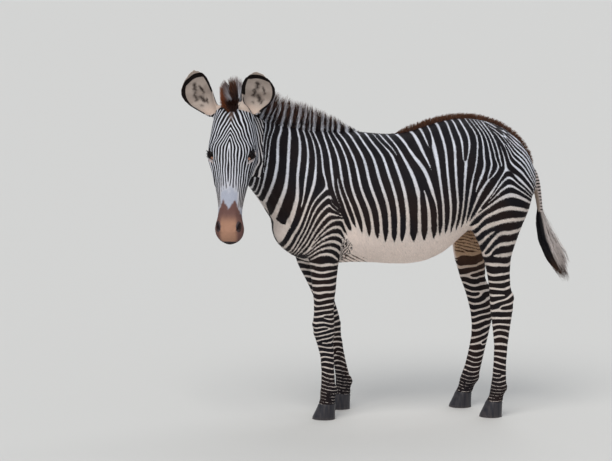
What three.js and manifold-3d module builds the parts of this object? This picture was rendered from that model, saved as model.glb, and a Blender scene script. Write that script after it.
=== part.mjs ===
// A life-size Grevy's zebra, standing square-bodied with its head turned to its left.
// Millimetres, +Z up. The tail end is at +X, the head end at -X and the animal's left side at -Y.
// Every limb is a loft through a few stations. The lofts are joined, then parted into named
// nodes by thin cuts, so that neighbours meet with a small gap and never overlap.
import * as THREE from "three";
import { mergeVertices } from "three/addons/utils/BufferGeometryUtils.js";
import Module from "manifold-3d";

const wasm = await Module();
wasm.setup();

// ---- Driving dimensions -------------------------------------------------------------------

const GAP = 0.4; // between nodes parted by a cut
const CLEARANCE = 1.2; // between the body and what grows on it
const LEFT = -1; // sign of Y on the animal's left
const RIGHT = 1;

const TRUNK_SIDES = 24;
const NECK_SIDES = 24;
const HEAD_SIDES = 22;
const LEG_SIDES = 12;
const TAIL_SIDES = 8;

const FORE_CUT_Z = 762; // trunk above, foreleg below
const HIND_CUT_Z = 850;
const KNEE_CUT_Z = 560; // forearm above, cannon below
const HOCK_CUT_Z = 655;
const CORONET_Z = 74; // hoof below, pastern above

const POLL = new THREE.Vector3(-916, -205, 1618);
const HEAD_BEARING = 12; // degrees that the head's plane turns from -Y towards -X
const HEAD_TWIST = 4; // degrees that the face turns about its own length, towards -X
const NOSE_FORWARD = 14; // degrees that the face leans out of the vertical

const EYE_RADIUS = 23;
const EYE_DOWN = 254; // from the poll along the head
const EYE_FRONT = 42; // from the head's reference line towards the face
const EYE_SIDE = 98;

const EAR_THICKNESS = 7;
const EAR_FORWARD = 20; // how far the tip bends towards the face
const EAR_RINGS = 10;
const EAR_ARC_POINTS = 8;

// [x, top z, bottom z, half width, pear] from breast to buttock. Pear > 0 is wider above.
const TRUNK = [
  [-676, 1020, 938, 45, 0],
  [-654, 1100, 892, 105, 0],
  [-600, 1205, 842, 160, 0],
  [-520, 1325, 802, 194, 0],
  [-430, 1420, 784, 212, -0.05],
  [-330, 1470, 790, 226, -0.12],
  [-250, 1471, 794, 240, -0.16],
  [-160, 1460, 792, 256, -0.16],
  [-70, 1455, 786, 272, -0.14],
  [20, 1470, 785, 282, -0.12],
  [110, 1504, 797, 284, -0.08],
  [200, 1530, 836, 276, -0.04],
  [280, 1541, 904, 266, 0],
  [350, 1540, 972, 256, 0.02],
  [440, 1522, 1022, 244, 0.02],
  [520, 1488, 1040, 226, 0],
  [590, 1436, 1062, 198, -0.04],
  [640, 1376, 1086, 156, -0.06],
  [672, 1308, 1130, 106, 0],
  [688, 1250, 1172, 48, 0],
];

// [crest x, y, z, throat x, y, z, half width] from inside the shoulders to inside the head.
const NECK = [
  [-235, 0, 1462, -500, 0, 860, 178],
  [-365, 0, 1475, -662, 0, 985, 168],
  [-498, -4, 1482, -728, -6, 1080, 146],
  [-640, -26, 1506, -776, -44, 1150, 122],
  [-756, -75, 1545, -828, -92, 1222, 106],
  [-845, -140, 1590, -872, -138, 1300, 98],
  [-896, -200, 1612, -902, -185, 1355, 88],
];

// [down from the poll, face offset, throat offset, half width, pear] along the head.
const HEAD = [
  [-14, 34, -20, 42, 0],
  [4, 58, -58, 72, 0],
  [45, 80, -100, 94, 0],
  [100, 94, -135, 106, 0.04],
  [165, 100, -158, 113, 0.14],
  [222, 100, -166, 120, 0.2],
  [262, 96, -164, 122, 0.2],
  [305, 89, -152, 110, 0.12],
  [355, 83, -130, 94, 0.03],
  [412, 78, -102, 80, -0.02],
  [466, 73, -80, 68, -0.04],
  [520, 69, -66, 60, 0],
  [564, 67, -61, 61, 0.06],
  [604, 65, -64, 71, 0.12],
  [633, 60, -66, 73, 0.1],
  [660, 48, -62, 63, 0],
  [680, 30, -52, 45, 0],
  [692, 6, -32, 20, 0],
];

// Down a pair of legs: [z, distance from the midline, half width, and for each side its half
// length fore and aft and its x].
const FORELEGS = [
  [1370, 120, 44, [70, -318], [70, -318]],
  [1270, 148, 62, [118, -352], [118, -356]],
  [1150, 164, 72, [146, -396], [146, -404]],
  [1030, 168, 78, [146, -432], [146, -446]],
  [920, 160, 74, [119, -432], [119, -455]],
  [835, 148, 62, [84, -430], [84, -460]],
  [765, 140, 54, [73, -428], [73, -448]],
  [690, 135, 49, [63, -425], [63, -416]],
  [610, 131, 43, [54, -422], [54, -384]],
  [545, 129, 41, [53, -421], [53, -362]],
  [490, 128, 45, [58, -421], [55, -346]],
  [435, 127, 39, [53, -417], [49, -330]],
  [380, 126, 32, [44, -407], [42, -316]],
  [320, 126, 28, [36, -398], [36, -302]],
  [240, 125, 28, [35, -392], [35, -283]],
  [180, 125, 31, [38, -389], [38, -269]],
  [140, 125, 37, [44, -386], [44, -260]],
  [105, 125, 35, [41, -389], [41, -262]],
  [CORONET_Z, 125, 43, [46, -393], [46, -268]],
];
const HINDLEGS = [
  [1430, 120, 70, [90, 400], [90, 400]],
  [1330, 150, 92, [165, 440], [165, 436]],
  [1220, 162, 96, [194, 466], [194, 458]],
  [1100, 164, 92, [172, 468], [172, 450]],
  [990, 158, 82, [137, 460], [139, 429]],
  [905, 150, 68, [104, 466], [112, 404]],
  [835, 144, 56, [80, 471], [97, 393]],
  [755, 138, 46, [63, 482], [81, 402]],
  [685, 134, 39, [58, 493], [69, 413]],
  [620, 132, 38, [64, 505], [70, 440]],
  [565, 130, 41, [62, 508], [68, 456]],
  [505, 129, 40, [53, 509], [61, 465]],
  [445, 128, 34, [45, 510], [54, 466]],
  [375, 128, 30, [37, 511], [47, 459]],
  [290, 127, 28, [35, 509], [45, 443]],
  [215, 127, 29, [37, 508], [46, 427]],
  [150, 127, 37, [43, 506], [50, 409]],
  [106, 127, 34, [39, 496], [44, 395]],
  [CORONET_Z, 127, 43, [46, 484], [46, 380]],
];

// [x, z, half length, half width] down the tail: the dock, then the long tassel.
const TAIL = [
  [632, 1308, 34, 28],
  [672, 1262, 30, 26],
  [698, 1205, 25, 23],
  [712, 1150, 21, 20],
  [723, 1090, 18, 18],
  [733, 1020, 17, 16],
  [744, 960, 20, 17],
  [762, 905, 28, 20],
  [788, 840, 36, 24],
  [824, 770, 38, 24],
  [868, 715, 34, 18],
  [905, 688, 20, 8],
];
const TASSEL_Z = 960;

// [crest x, y, z, hair height, half width] of the standing mane, from forelock to withers.
const MANE = [
  [-944, -268, 1578, 30, 10],
  [-937, -244, 1610, 92, 20],
  [-920, -214, 1630, 132, 25],
  [-876, -168, 1612, 140, 26],
  [-812, -118, 1580, 152, 27],
  [-730, -64, 1540, 153, 26],
  [-640, -26, 1507, 150, 25],
  [-560, -10, 1489, 140, 24],
  [-474, -4, 1480, 122, 23],
  [-385, 0, 1476, 84, 21],
  [-300, 0, 1470, 34, 16],
  [-240, 0, 1462, 10, 10],
];
const HAIR_ROOT = 26; // how far the hair's solid starts below the crest

// The same for the raised dark hair along the croup, down to the root of the tail.
const RIDGE = [
  [-50, 0, 1450, 4, 10],
  [10, 0, 1464, 32, 18],
  [90, 0, 1494, 31, 23],
  [190, 0, 1526, 30, 25],
  [300, 0, 1541, 27, 25],
  [404, 0, 1530, 27, 24],
  [490, 0, 1502, 26, 22],
  [560, 0, 1460, 26, 20],
  [610, 0, 1412, 25, 17],
  [650, 0, 1354, 24, 14],
  [674, 0, 1300, 16, 10],
];

const COLOURS = {
  coat: 0x6e645e,
  mane: 0x4a332a,
  tassel: 0x2a2422,
  eye: 0x120c0a,
  hoof: 0x34373a,
};

// ---- Lofting ------------------------------------------------------------------------------

// Rows of numbers interpolated smoothly, with `steps` new rows for each given interval.
function smoothRows(rows, steps) {
  const last = rows.length - 1;
  const result = [];
  for (let i = 0; i < last; i++) {
    const [a, b, c, d] = [rows[Math.max(i - 1, 0)], rows[i], rows[i + 1], rows[Math.min(i + 2, last)]];
    for (let k = 0; k < steps; k++) {
      const t = k / steps;
      result.push(b.map((_, j) => {
        const slopeIn = (c[j] - a[j]) / 2;
        const slopeOut = (d[j] - b[j]) / 2;
        const rise = c[j] - b[j];
        const bend = slopeIn + slopeOut - 2 * rise;
        return b[j] + t * (slopeIn + t * (3 * rise - 2 * slopeIn - slopeOut + t * bend));
      }));
    }
  }
  return [...result, rows[last]];
}

// One closed ring: an oval about `centre`, with its own height above and below it.
function ring({ centre, side, up, halfWidth, above, below, pear = 0, square = 1 }, sides) {
  return Array.from({ length: sides }, (_, i) => {
    const angle = (2 * Math.PI * (i + 0.5)) / sides;
    const c = Math.cos(angle);
    const s = Math.sin(angle);
    const across = Math.sign(c) * Math.abs(c) ** square * halfWidth * (1 + pear * s);
    const along = Math.sign(s) * Math.abs(s) ** square * (s > 0 ? above : below);
    return centre.clone().addScaledVector(side, across).addScaledVector(up, along);
  });
}

// A closed geometry through rings of equal length, capped at both ends. The caps' middles
// stand out by `dome`.
function loft(rings, dome = 0) {
  const sides = rings[0].length;
  const middle = (points) => points.reduce((sum, p) => sum.add(p), new THREE.Vector3()).divideScalar(sides);
  const [near, far] = [middle(rings[0]), middle(rings.at(-1))];
  near.addScaledVector(near.clone().sub(middle(rings[1])).normalize(), dome);
  far.addScaledVector(far.clone().sub(middle(rings.at(-2))).normalize(), dome);
  const points = [...rings.flat(), near, far];
  const [first, last] = [points.length - 2, points.length - 1];
  const faces = [];
  for (let r = 0; r + 1 < rings.length; r++) {
    for (let i = 0; i < sides; i++) {
      const [a, b] = [r * sides + i, r * sides + ((i + 1) % sides)];
      faces.push(a, b, b + sides, a, b + sides, a + sides);
    }
  }
  const end = (rings.length - 1) * sides;
  for (let i = 0; i < sides; i++) {
    const next = (i + 1) % sides;
    faces.push(first, next, i, last, end + i, end + next);
  }
  const geometry = new THREE.BufferGeometry().setFromPoints(points);
  return geometry.setIndex(faces);
}

// A manifold solid of a closed geometry, turned to face outwards.
function solid(geometry) {
  const bare = geometry.clone().deleteAttribute("normal").deleteAttribute("uv");
  const merged = mergeVertices(bare, 1e-3);
  const triVerts = new Uint32Array(merged.index.array);
  const vertProperties = new Float32Array(merged.attributes.position.array);
  const made = new wasm.Manifold(new wasm.Mesh({ numProp: 3, vertProperties, triVerts }));
  if (made.volume() > 0) return made;
  for (let i = 0; i < triVerts.length; i += 3) {
    [triVerts[i + 1], triVerts[i + 2]] = [triVerts[i + 2], triVerts[i + 1]];
  }
  return new wasm.Manifold(new wasm.Mesh({ numProp: 3, vertProperties, triVerts }));
}

function largest(body) {
  return body.decompose().sort((a, b) => b.volume() - a.volume())[0];
}

// The two sides of a plane, each kept half a gap away from it: [along the normal, against it].
function part(body, point, normal) {
  const n = normal.clone().normalize();
  const offset = n.dot(point);
  const front = body.trimByPlane(n.toArray(), offset + GAP / 2);
  const back = body.trimByPlane(n.clone().negate().toArray(), GAP / 2 - offset);
  return [largest(front), largest(back)];
}

const vec = (x, y, z) => new THREE.Vector3(x, y, z);
const AXIS = { x: vec(1, 0, 0), y: vec(0, 1, 0), z: vec(0, 0, 1) };

// ---- Limbs --------------------------------------------------------------------------------

function trunk(grow = 0) {
  const rings = TRUNK.map(([x, top, bottom, halfWidth, pear]) =>
    ring({
      centre: vec(x, 0, (top + bottom) / 2),
      side: AXIS.y,
      up: AXIS.z,
      halfWidth: halfWidth + grow,
      above: (top - bottom) / 2 + grow,
      below: (top - bottom) / 2 + grow,
      pear,
      square: 0.94,
    }, TRUNK_SIDES));
  return solid(loft(rings, 4 + grow));
}

function neck(grow = 0) {
  const rows = smoothRows(NECK, 2);
  const spans = rows.map((row) => ({
    crest: vec(...row.slice(0, 3)),
    throat: vec(...row.slice(3, 6)),
    halfWidth: row[6],
  }));
  const centres = spans.map(({ crest, throat }) => crest.clone().lerp(throat, 0.5));
  const rings = spans.map(({ crest, throat, halfWidth }, i) => {
    const along = centres[Math.min(i + 1, centres.length - 1)].clone().sub(centres[Math.max(i - 1, 0)]);
    const up = crest.clone().sub(throat);
    const half = up.length() / 2;
    up.normalize();
    return ring({
      centre: centres[i],
      side: along.cross(up).normalize(),
      up,
      halfWidth: halfWidth + grow,
      above: half + grow,
      below: half + grow,
      pear: -0.26,
    }, NECK_SIDES);
  });
  return solid(loft(rings, grow));
}

// The head's own axes: down its length, out of the face, and to the animal's left.
const headAxes = (() => {
  const bearing = THREE.MathUtils.degToRad(HEAD_BEARING);
  const lean = THREE.MathUtils.degToRad(NOSE_FORWARD);
  const ahead = vec(-Math.sin(bearing), -Math.cos(bearing), 0);
  const down = AXIS.z.clone().multiplyScalar(-Math.cos(lean)).addScaledVector(ahead, Math.sin(lean));
  const face = ahead.clone().multiplyScalar(Math.cos(lean)).addScaledVector(AXIS.z, Math.sin(lean));
  face.applyAxisAngle(down, THREE.MathUtils.degToRad(HEAD_TWIST));
  return { down, face, left: face.clone().cross(down).normalize() };
})();

// A point of the head from its distances down the head, out of the face and to its left.
function headPoint(down, face, left) {
  return POLL.clone()
    .addScaledVector(headAxes.down, down)
    .addScaledVector(headAxes.face, face)
    .addScaledVector(headAxes.left, left);
}

function head(grow = 0) {
  const rings = smoothRows(HEAD, 2).map(([down, front, back, halfWidth, pear]) =>
    ring({
      centre: headPoint(down, (front + back) / 2, 0),
      side: headAxes.left,
      up: headAxes.face,
      halfWidth: halfWidth + grow,
      above: (front - back) / 2 + grow,
      below: (front - back) / 2 + grow,
      pear,
      square: 0.86,
    }, HEAD_SIDES));
  return solid(loft(rings, 6 + grow));
}

function leg(rows, side) {
  const rings = rows.map(([z, out, halfWidth, left, right]) => {
    const [halfLength, x] = side === LEFT ? left : right;
    return ring({
      centre: vec(x, side * out, z),
      side: AXIS.y,
      up: AXIS.x,
      halfWidth,
      above: halfLength,
      below: halfLength,
    }, LEG_SIDES);
  });
  return solid(loft(rings));
}

function hoof(rows, side) {
  const [, out, topWidth, left, right] = rows.at(-1);
  const [topLength, x] = side === LEFT ? left : right;
  const levels = [
    // [z, forward shift of the centre, half length, half width]
    [0, 15, 62, 51],
    [12, 14, 60, 50],
    [CORONET_Z - 14, 3, 48, 45],
    [CORONET_Z - GAP, 0, topLength, topWidth],
  ];
  const rings = levels.map(([z, shift, length, width]) =>
    ring({
      centre: vec(x - shift, side * out, z),
      side: AXIS.y,
      up: AXIS.x,
      halfWidth: width,
      above: length,
      below: length,
    }, LEG_SIDES));
  return solid(loft(rings));
}

function tail(grow = 0) {
  const rings = smoothRows(TAIL, 2).map(([x, z, length, width]) =>
    ring({
      centre: vec(x, 0, z),
      side: AXIS.y,
      up: vec(0.94, 0, 0.34),
      halfWidth: width + grow,
      above: length + grow,
      below: length + grow,
    }, TAIL_SIDES));
  return solid(loft(rings));
}

// A standing comb of hair along a crest, narrowed at its top.
function comb(crestRows, grow = 0) {
  const OUTLINE = [[1, 0], [0.95, 0.45], [0.62, 0.85], [0.2, 1]]; // [across, up] of one side
  const rows = smoothRows(crestRows, 2);
  const crest = rows.map(([x, y, z]) => vec(x, y, z));
  const rings = rows.map(([, , , height, halfWidth], i) => {
    const along = crest[Math.min(i + 1, rows.length - 1)].clone().sub(crest[Math.max(i - 1, 0)]);
    const side = along.clone().cross(AXIS.z).normalize();
    const up = side.clone().cross(along).normalize();
    const root = crest[i].clone().addScaledVector(up, -HAIR_ROOT - grow);
    const corner = ([across, rise]) => root.clone()
      .addScaledVector(side, across * (halfWidth + grow))
      .addScaledVector(up, rise * (height + HAIR_ROOT + 2 * grow));
    return [...OUTLINE, ...OUTLINE.map(([across, rise]) => [-across, rise]).reverse()].map(corner);
  });
  return solid(loft(rings, grow));
}

// A cupped ear. Its rings are arcs of shell that close to a tube at the root, open towards the
// face and flatten to the tip. `bow` is how far the ear's middle bulges outwards. A filled ear
// has no cup, and stands off by the clearance.
function ear(sign, { down, face, left, length, width, lean, bow, turn }, filled = false) {
  const out = headAxes.left.clone().multiplyScalar(sign);
  const up = headAxes.down.clone().negate();
  up.applyAxisAngle(headAxes.face, -sign * THREE.MathUtils.degToRad(lean));
  const open = headAxes.face.clone().applyAxisAngle(up, sign * THREE.MathUtils.degToRad(turn));
  const across = open.clone().cross(up).normalize();
  const root = headPoint(down, face, left * sign);
  const rings = Array.from({ length: EAR_RINGS }, (_, r) => {
    const t = r / (EAR_RINGS - 1);
    const profile = Math.sin(Math.PI * (0.12 + 0.87 * t ** 1.52)) ** 0.8;
    const halfWidth = Math.max(4, (width / 2) * profile);
    const wrap = THREE.MathUtils.lerp(2.6, 1.1, Math.min(1, t * 1.7)); // half angle of the arc
    const radius = halfWidth / Math.sin(Math.min(wrap, Math.PI / 2));
    const thick = Math.min(EAR_THICKNESS, halfWidth) * (1 - 0.4 * t);
    const centre = root.clone()
      .addScaledVector(up, length * t)
      .addScaledVector(out, bow * Math.sin(Math.PI * t))
      .addScaledVector(open, EAR_FORWARD * t * t);
    const arc = (r0) => Array.from({ length: EAR_ARC_POINTS }, (_, k) => {
      const angle = wrap * ((2 * k) / (EAR_ARC_POINTS - 1) - 1);
      const depth = radius * Math.cos(Math.min(wrap, Math.PI / 2)) - r0 * Math.cos(angle);
      return centre.clone().addScaledVector(across, r0 * Math.sin(angle)).addScaledVector(open, depth);
    });
    if (!filled) return [...arc(radius), ...arc(Math.max(radius - thick, 1)).reverse()];
    const back = arc(radius + 2 * CLEARANCE);
    const chord = (k) => back[0].clone().lerp(back.at(-1), 1 - (k + 1) / (EAR_ARC_POINTS + 1));
    return [...back, ...Array.from({ length: EAR_ARC_POINTS }, (_, k) => chord(k))];
  });
  return solid(loft(rings));
}

function eye(sign, grow = 0) {
  const ball = new THREE.SphereGeometry(EYE_RADIUS + grow, 10, 7);
  const at = headPoint(EYE_DOWN, EYE_FRONT, EYE_SIDE * sign);
  return solid(ball.translate(at.x, at.y, at.z));
}

// ---- Assembly -----------------------------------------------------------------------------

const legs = {
  foreleg_left: { rows: FORELEGS, side: LEFT, top: FORE_CUT_Z, joint: KNEE_CUT_Z },
  foreleg_right: { rows: FORELEGS, side: RIGHT, top: FORE_CUT_Z, joint: KNEE_CUT_Z },
  hindleg_left: { rows: HINDLEGS, side: LEFT, top: HIND_CUT_Z, joint: HOCK_CUT_Z },
  hindleg_right: { rows: HINDLEGS, side: RIGHT, top: HIND_CUT_Z, joint: HOCK_CUT_Z },
};

const nodes = {};
let barrel = trunk();
for (const [name, { rows, side, top, joint }] of Object.entries(legs)) {
  const [stub, free] = part(leg(rows, side), vec(0, 0, top), AXIS.z);
  const [upper, lower] = part(free, vec(0, 0, joint), AXIS.z);
  barrel = barrel.add(stub);
  nodes[`${name}_upper`] = upper;
  nodes[`${name}_lower`] = lower;
  nodes[`${name}_hoof`] = hoof(rows, side);
}

const NECK_CUT = { point: vec(-470, 0, 1240), normal: vec(-0.86, 0, 0.51) };
const HEAD_CUT = { point: vec(-880, -165, 1460), normal: vec(-0.52, -0.84, 0.12) };
const whole = barrel.add(neck()).add(head());
const [front, body] = part(whole, NECK_CUT.point, NECK_CUT.normal);
const [headPart, neckPart] = part(front, HEAD_CUT.point, HEAD_CUT.normal);
const swollen = trunk(CLEARANCE).add(neck(CLEARANCE)).add(head(CLEARANCE));

const eyes = { eye_left: 1, eye_right: -1 };
let skull = headPart;
for (const [name, sign] of Object.entries(eyes)) {
  nodes[name] = eye(sign);
  skull = skull.subtract(eye(sign, GAP));
}
nodes.head = largest(skull);
nodes.neck = neckPart;
nodes.trunk = body;

const ears = {
  ear_left: [1, { down: 48, face: 0, left: 84, length: 220, width: 174, lean: 8, bow: 24, turn: 0 }],
  ear_right: [-1, { down: 48, face: 0, left: 90, length: 250, width: 164, lean: 29, bow: 36, turn: 4 }],
};
let hair = comb(MANE).subtract(swollen);
for (const [name, [sign, place]] of Object.entries(ears)) {
  nodes[name] = largest(ear(sign, place).subtract(swollen));
  hair = hair.subtract(ear(sign, place, true));
}
nodes.mane = largest(hair);
nodes.dorsal_ridge = largest(comb(RIDGE).subtract(trunk(CLEARANCE)));

const [dock, tassel] = part(tail(), vec(742, 0, TASSEL_Z), vec(-0.3, 0, 1));
nodes.tail = largest(dock.subtract(trunk(CLEARANCE)).subtract(comb(RIDGE, CLEARANCE)));
nodes.tail_tassel = tassel;

// ---- Meshes -------------------------------------------------------------------------------

function finish(name) {
  const found = Object.keys(COLOURS).find((key) => name.includes(key)) ?? "coat";
  const gloss = { eye: 0.1, hoof: 0.45 }[found] ?? 0.85;
  return new THREE.MeshStandardMaterial({ color: COLOURS[found], roughness: gloss, metalness: 0 });
}

function geometryOf(body) {
  const { vertProperties, triVerts } = body.getMesh();
  const geometry = new THREE.BufferGeometry();
  geometry.setAttribute("position", new THREE.BufferAttribute(new Float32Array(vertProperties), 3));
  geometry.setIndex(new THREE.BufferAttribute(new Uint32Array(triVerts), 1));
  geometry.computeVertexNormals();
  return geometry;
}

const zebra = new THREE.Group();
for (const [name, body] of Object.entries(nodes)) {
  const mesh = new THREE.Mesh(geometryOf(body), finish(name));
  mesh.name = name;
  zebra.add(mesh);
}

// The origin is on the ground under the middle of the animal's bounding box.
const middle = new THREE.Box3().setFromObject(zebra).getCenter(vec(0, 0, 0));
zebra.position.set(-middle.x, -middle.y, 0);

export default zebra;
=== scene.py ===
"""A life-size Grevy's zebra, standing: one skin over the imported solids, its stripes, coat and hair.

Lengths are metres in the row frame. The animal's tail points to +X and its left is -Y.
"""

import math

import bpy
import numpy as np
from mathutils import Matrix, Vector
from mathutils.bvhtree import BVHTree


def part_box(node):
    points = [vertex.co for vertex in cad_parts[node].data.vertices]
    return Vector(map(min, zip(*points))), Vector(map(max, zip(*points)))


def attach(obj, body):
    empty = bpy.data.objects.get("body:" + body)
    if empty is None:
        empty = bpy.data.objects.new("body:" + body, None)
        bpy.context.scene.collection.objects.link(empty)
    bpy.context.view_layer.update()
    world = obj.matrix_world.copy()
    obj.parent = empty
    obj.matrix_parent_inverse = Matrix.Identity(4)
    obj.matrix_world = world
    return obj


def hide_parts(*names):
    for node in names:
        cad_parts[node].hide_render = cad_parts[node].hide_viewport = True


MM = 0.001
X, _, Z = np.eye(3)
SIDES = {"left": -1.0, "right": 1.0}  # the sign of y on each side of the animal
RNG = np.random.default_rng(11)

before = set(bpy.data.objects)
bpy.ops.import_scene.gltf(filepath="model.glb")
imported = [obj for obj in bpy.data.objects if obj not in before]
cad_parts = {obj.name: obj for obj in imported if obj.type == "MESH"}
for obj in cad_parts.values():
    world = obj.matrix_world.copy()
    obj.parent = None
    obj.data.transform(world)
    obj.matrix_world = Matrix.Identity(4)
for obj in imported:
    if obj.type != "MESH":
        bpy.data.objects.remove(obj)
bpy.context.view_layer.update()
trunk_low, trunk_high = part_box("trunk")
MIDLINE = (trunk_low[1] + trunk_high[1]) / 2  # the y of the body's middle plane
# The tables of places below put the middle of the trunk at this x.
TABLE_TRUNK_X = 0.1295
SHIFT = (trunk_low[0] + trunk_high[0]) / 2 - TABLE_TRUNK_X
BETWEEN_LEGS_X = 0.15  # an x between the forelegs and the hind legs

# ---- Small mathematics ----------------------------------------------------------------------


def rise(value, start, end):
    """0 before start, 1 after end, and smooth between them. Either may be the larger."""
    t = np.clip((value - start) / (end - start), 0.0, 1.0)
    return t * t * (3 - 2 * t)


def within(value, start, full, fade, end):
    """1 from full to fade, 0 before start and after end, and smooth between them."""
    return rise(value, start, full) * rise(value, end, fade)


def mix(a, b, t):
    return a + (b - a) * t


def looked_up(value, rows):
    """The value between the rows of a table of pairs, in straight steps."""
    return np.interp(value, *np.array(rows).T)


def between_rows(value, places, rows):
    """The row at each value, when those at `places` are known."""
    return np.stack([np.interp(value, places, column) for column in rows.T], 1)


def unit(vectors):
    length = np.linalg.norm(vectors, axis=-1, keepdims=True)
    return vectors / np.maximum(length, 1e-12)


def wave_of(turns):
    """A complex wave whose real part is 1 at each whole turn and -1 halfway between them."""
    return np.exp(2j * math.pi * turns)


def one_long(wave):
    """The wave with its length made 1 again where mixing has shortened it."""
    return wave / np.maximum(np.abs(wave), 1e-6)


def turned(vector, axis, degrees):
    """The vector turned about a unit axis."""
    angle = math.radians(degrees)
    around = np.cross(axis, vector) * math.sin(angle)
    return vector * math.cos(angle) + around + axis * (axis @ vector) * (1 - math.cos(angle))


WOBBLE_WAVES, WOBBLE_SIZE = 7, 2.6  # how many waves are added, and what their sum is divided by


def wobble(points, wavelength, seed):
    """Smooth noise of about -1 to 1 at the points, from a few plane waves in fixed directions."""
    waves = np.random.default_rng(seed)
    total = np.zeros(len(points))
    for _ in range(WOBBLE_WAVES):
        direction = unit(waves.normal(size=3)) * (2 * math.pi / wavelength) * waves.uniform(0.6, 1.5)
        total += np.sin(points @ direction + waves.uniform(0, 2 * math.pi))
    return total / WOBBLE_SIZE


def curve_through(points, count):
    """`count` points at equal steps along a smooth curve through the given ones."""
    points = np.asarray(points, float)
    ends = [2 * points[0] - points[1], *points, 2 * points[-1] - points[-2]]
    t = np.linspace(0, 1, 16, endpoint=False)[:, None]
    spans = []
    for p0, p1, p2, p3 in zip(ends, ends[1:], ends[2:], ends[3:]):
        spans.append(0.5 * (
            2 * p1 + (p2 - p0) * t + (2 * p0 - 5 * p1 + 4 * p2 - p3) * t**2
            + (3 * p1 - p0 - 3 * p2 + p3) * t**3
        ))
    dense = np.concatenate([*spans, points[-1:]])
    length = np.concatenate([[0], np.cumsum(np.linalg.norm(np.diff(dense, axis=0), axis=1))])
    steps = np.linspace(0, length[-1], count)
    return between_rows(steps, length, dense)


# ---- The head's own axes --------------------------------------------------------------------

HEAD_BEARING, HEAD_TWIST, NOSE_FORWARD = 12, 4, 14
POLL = np.array([SHIFT - 0.8005, MIDLINE - 0.2050, 1.618])


def head_axes():
    """Down the head's length, out of its face, and to the animal's left."""
    bearing, lean = math.radians(HEAD_BEARING), math.radians(NOSE_FORWARD)
    ahead = np.array([-math.sin(bearing), -math.cos(bearing), 0])
    down = -Z * math.cos(lean) + ahead * math.sin(lean)
    face = turned(ahead * math.cos(lean) + Z * math.sin(lean), down, HEAD_TWIST)
    return np.array([down, face, unit(np.cross(face, down))])


HEAD_AXES = head_axes()
DOWN, FACE, LEFTWARD = HEAD_AXES


def head_point(down, face, left):
    return POLL + np.array([down, face, left]) @ HEAD_AXES


def head_places(points):
    """Distances of the points down the head, out of the face and to its left."""
    return ((points - POLL) @ HEAD_AXES.T).T


# ---- Surfaces -------------------------------------------------------------------------------


class Surface:
    """A triangle mesh in arrays, with what smoothing and sculpting need."""

    def __init__(self, points, triangles):
        self.points = points
        self.triangles = triangles
        sides = np.sort(triangles[:, [0, 1, 1, 2, 2, 0]].reshape(-1, 2), axis=1)
        keys = np.unique(sides[:, 0] * len(points) + sides[:, 1])
        self.edges = np.stack([keys // len(points), keys % len(points)])
        self.valence = np.maximum(np.bincount(self.edges.ravel(), minlength=len(points)), 1)

    def averaged(self, values):
        """The mean of each vertex's neighbours."""
        a, b = self.edges
        count = len(self.points)
        columns = values.reshape(count, -1).T
        sums = [np.bincount(a, c[b], count) + np.bincount(b, c[a], count) for c in columns]
        return (np.stack(sums, 1) / self.valence[:, None]).reshape(values.shape)

    def soften(self, values, rounds):
        for _ in range(rounds):
            values = mix(values, self.averaged(values), 0.6)
        return values

    def normals(self):
        a, b, c = self.points[self.triangles].transpose(1, 0, 2)
        across = np.cross(b - a, c - a)
        corners = self.triangles.T.ravel()
        tiled = np.tile(across, (3, 1))
        summed = [np.bincount(corners, column, len(self.points)) for column in tiled.T]
        return unit(np.stack(summed, 1))

    def relax(self, weight, rounds):
        """Rounds off the shape, each vertex by its own weight."""
        for _ in range(rounds):
            self.points = self.points + (0.5 * weight)[:, None] * (self.averaged(self.points) - self.points)

    def refined(self, chosen):
        """The surface with its chosen triangles split in four, and their neighbours to match."""
        tri, count = self.triangles, len(self.points)
        sides = np.sort(tri[:, [[0, 1], [1, 2], [2, 0]]], axis=2)
        keys = sides[..., 0] * count + sides[..., 1]
        split = np.unique(keys[chosen])
        middle = (self.points[split // count] + self.points[split % count]) / 2
        at = np.searchsorted(split, keys)
        marked = split[np.minimum(at, len(split) - 1)] == keys
        half = count + at
        cuts = marked.sum(1)
        made = [tri[cuts == 0]]
        for turn in range(3):  # turn the corners so that each case is met in one position
            a, b, c = np.roll(tri, -turn, 1).T
            ab, bc, ca = np.roll(half, -turn, 1).T
            m_ab, m_bc = np.roll(marked, -turn, 1).T[:2]
            one = (cuts == 1) & m_ab
            two = (cuts == 2) & m_ab & m_bc
            made += [np.stack(t, 1)[one] for t in ((a, ab, c), (ab, b, c))]
            made += [np.stack(t, 1)[two] for t in ((ab, b, bc), (a, ab, bc), (a, bc, c))]
            if turn == 0:
                whole = cuts == 3
                fours = ((a, ab, ca), (ab, b, bc), (ca, bc, c), (ab, bc, ca))
                made += [np.stack(t, 1)[whole] for t in fours]
        return Surface(np.concatenate([self.points, middle]), np.concatenate(made))

    def near(self, place, radius):
        """The triangles whose first corner is within the radius of the place."""
        return np.linalg.norm(self.points[self.triangles[:, 0]] - place, axis=1) < radius

    def swell(self, start, end, radius, height):
        """Raises a rounded ridge along the line from start to end, or hollows one out."""
        start, end = np.asarray(start, float), np.asarray(end, float)
        reach = np.linalg.norm(end - start) / 2 + radius
        near = np.flatnonzero(np.abs(self.points - (start + end) / 2).max(1) < reach)
        along = end - start
        away = self.points[near] - start
        t = np.clip(away @ along / max(along @ along, 1e-12), 0, 1)
        distance = np.linalg.norm(away - t[:, None] * along, axis=1)
        lift = np.clip(1 - (distance / radius) ** 2, 0, 1) ** 2 * height
        self.points[near] += self.facing[near] * lift[:, None]


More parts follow.
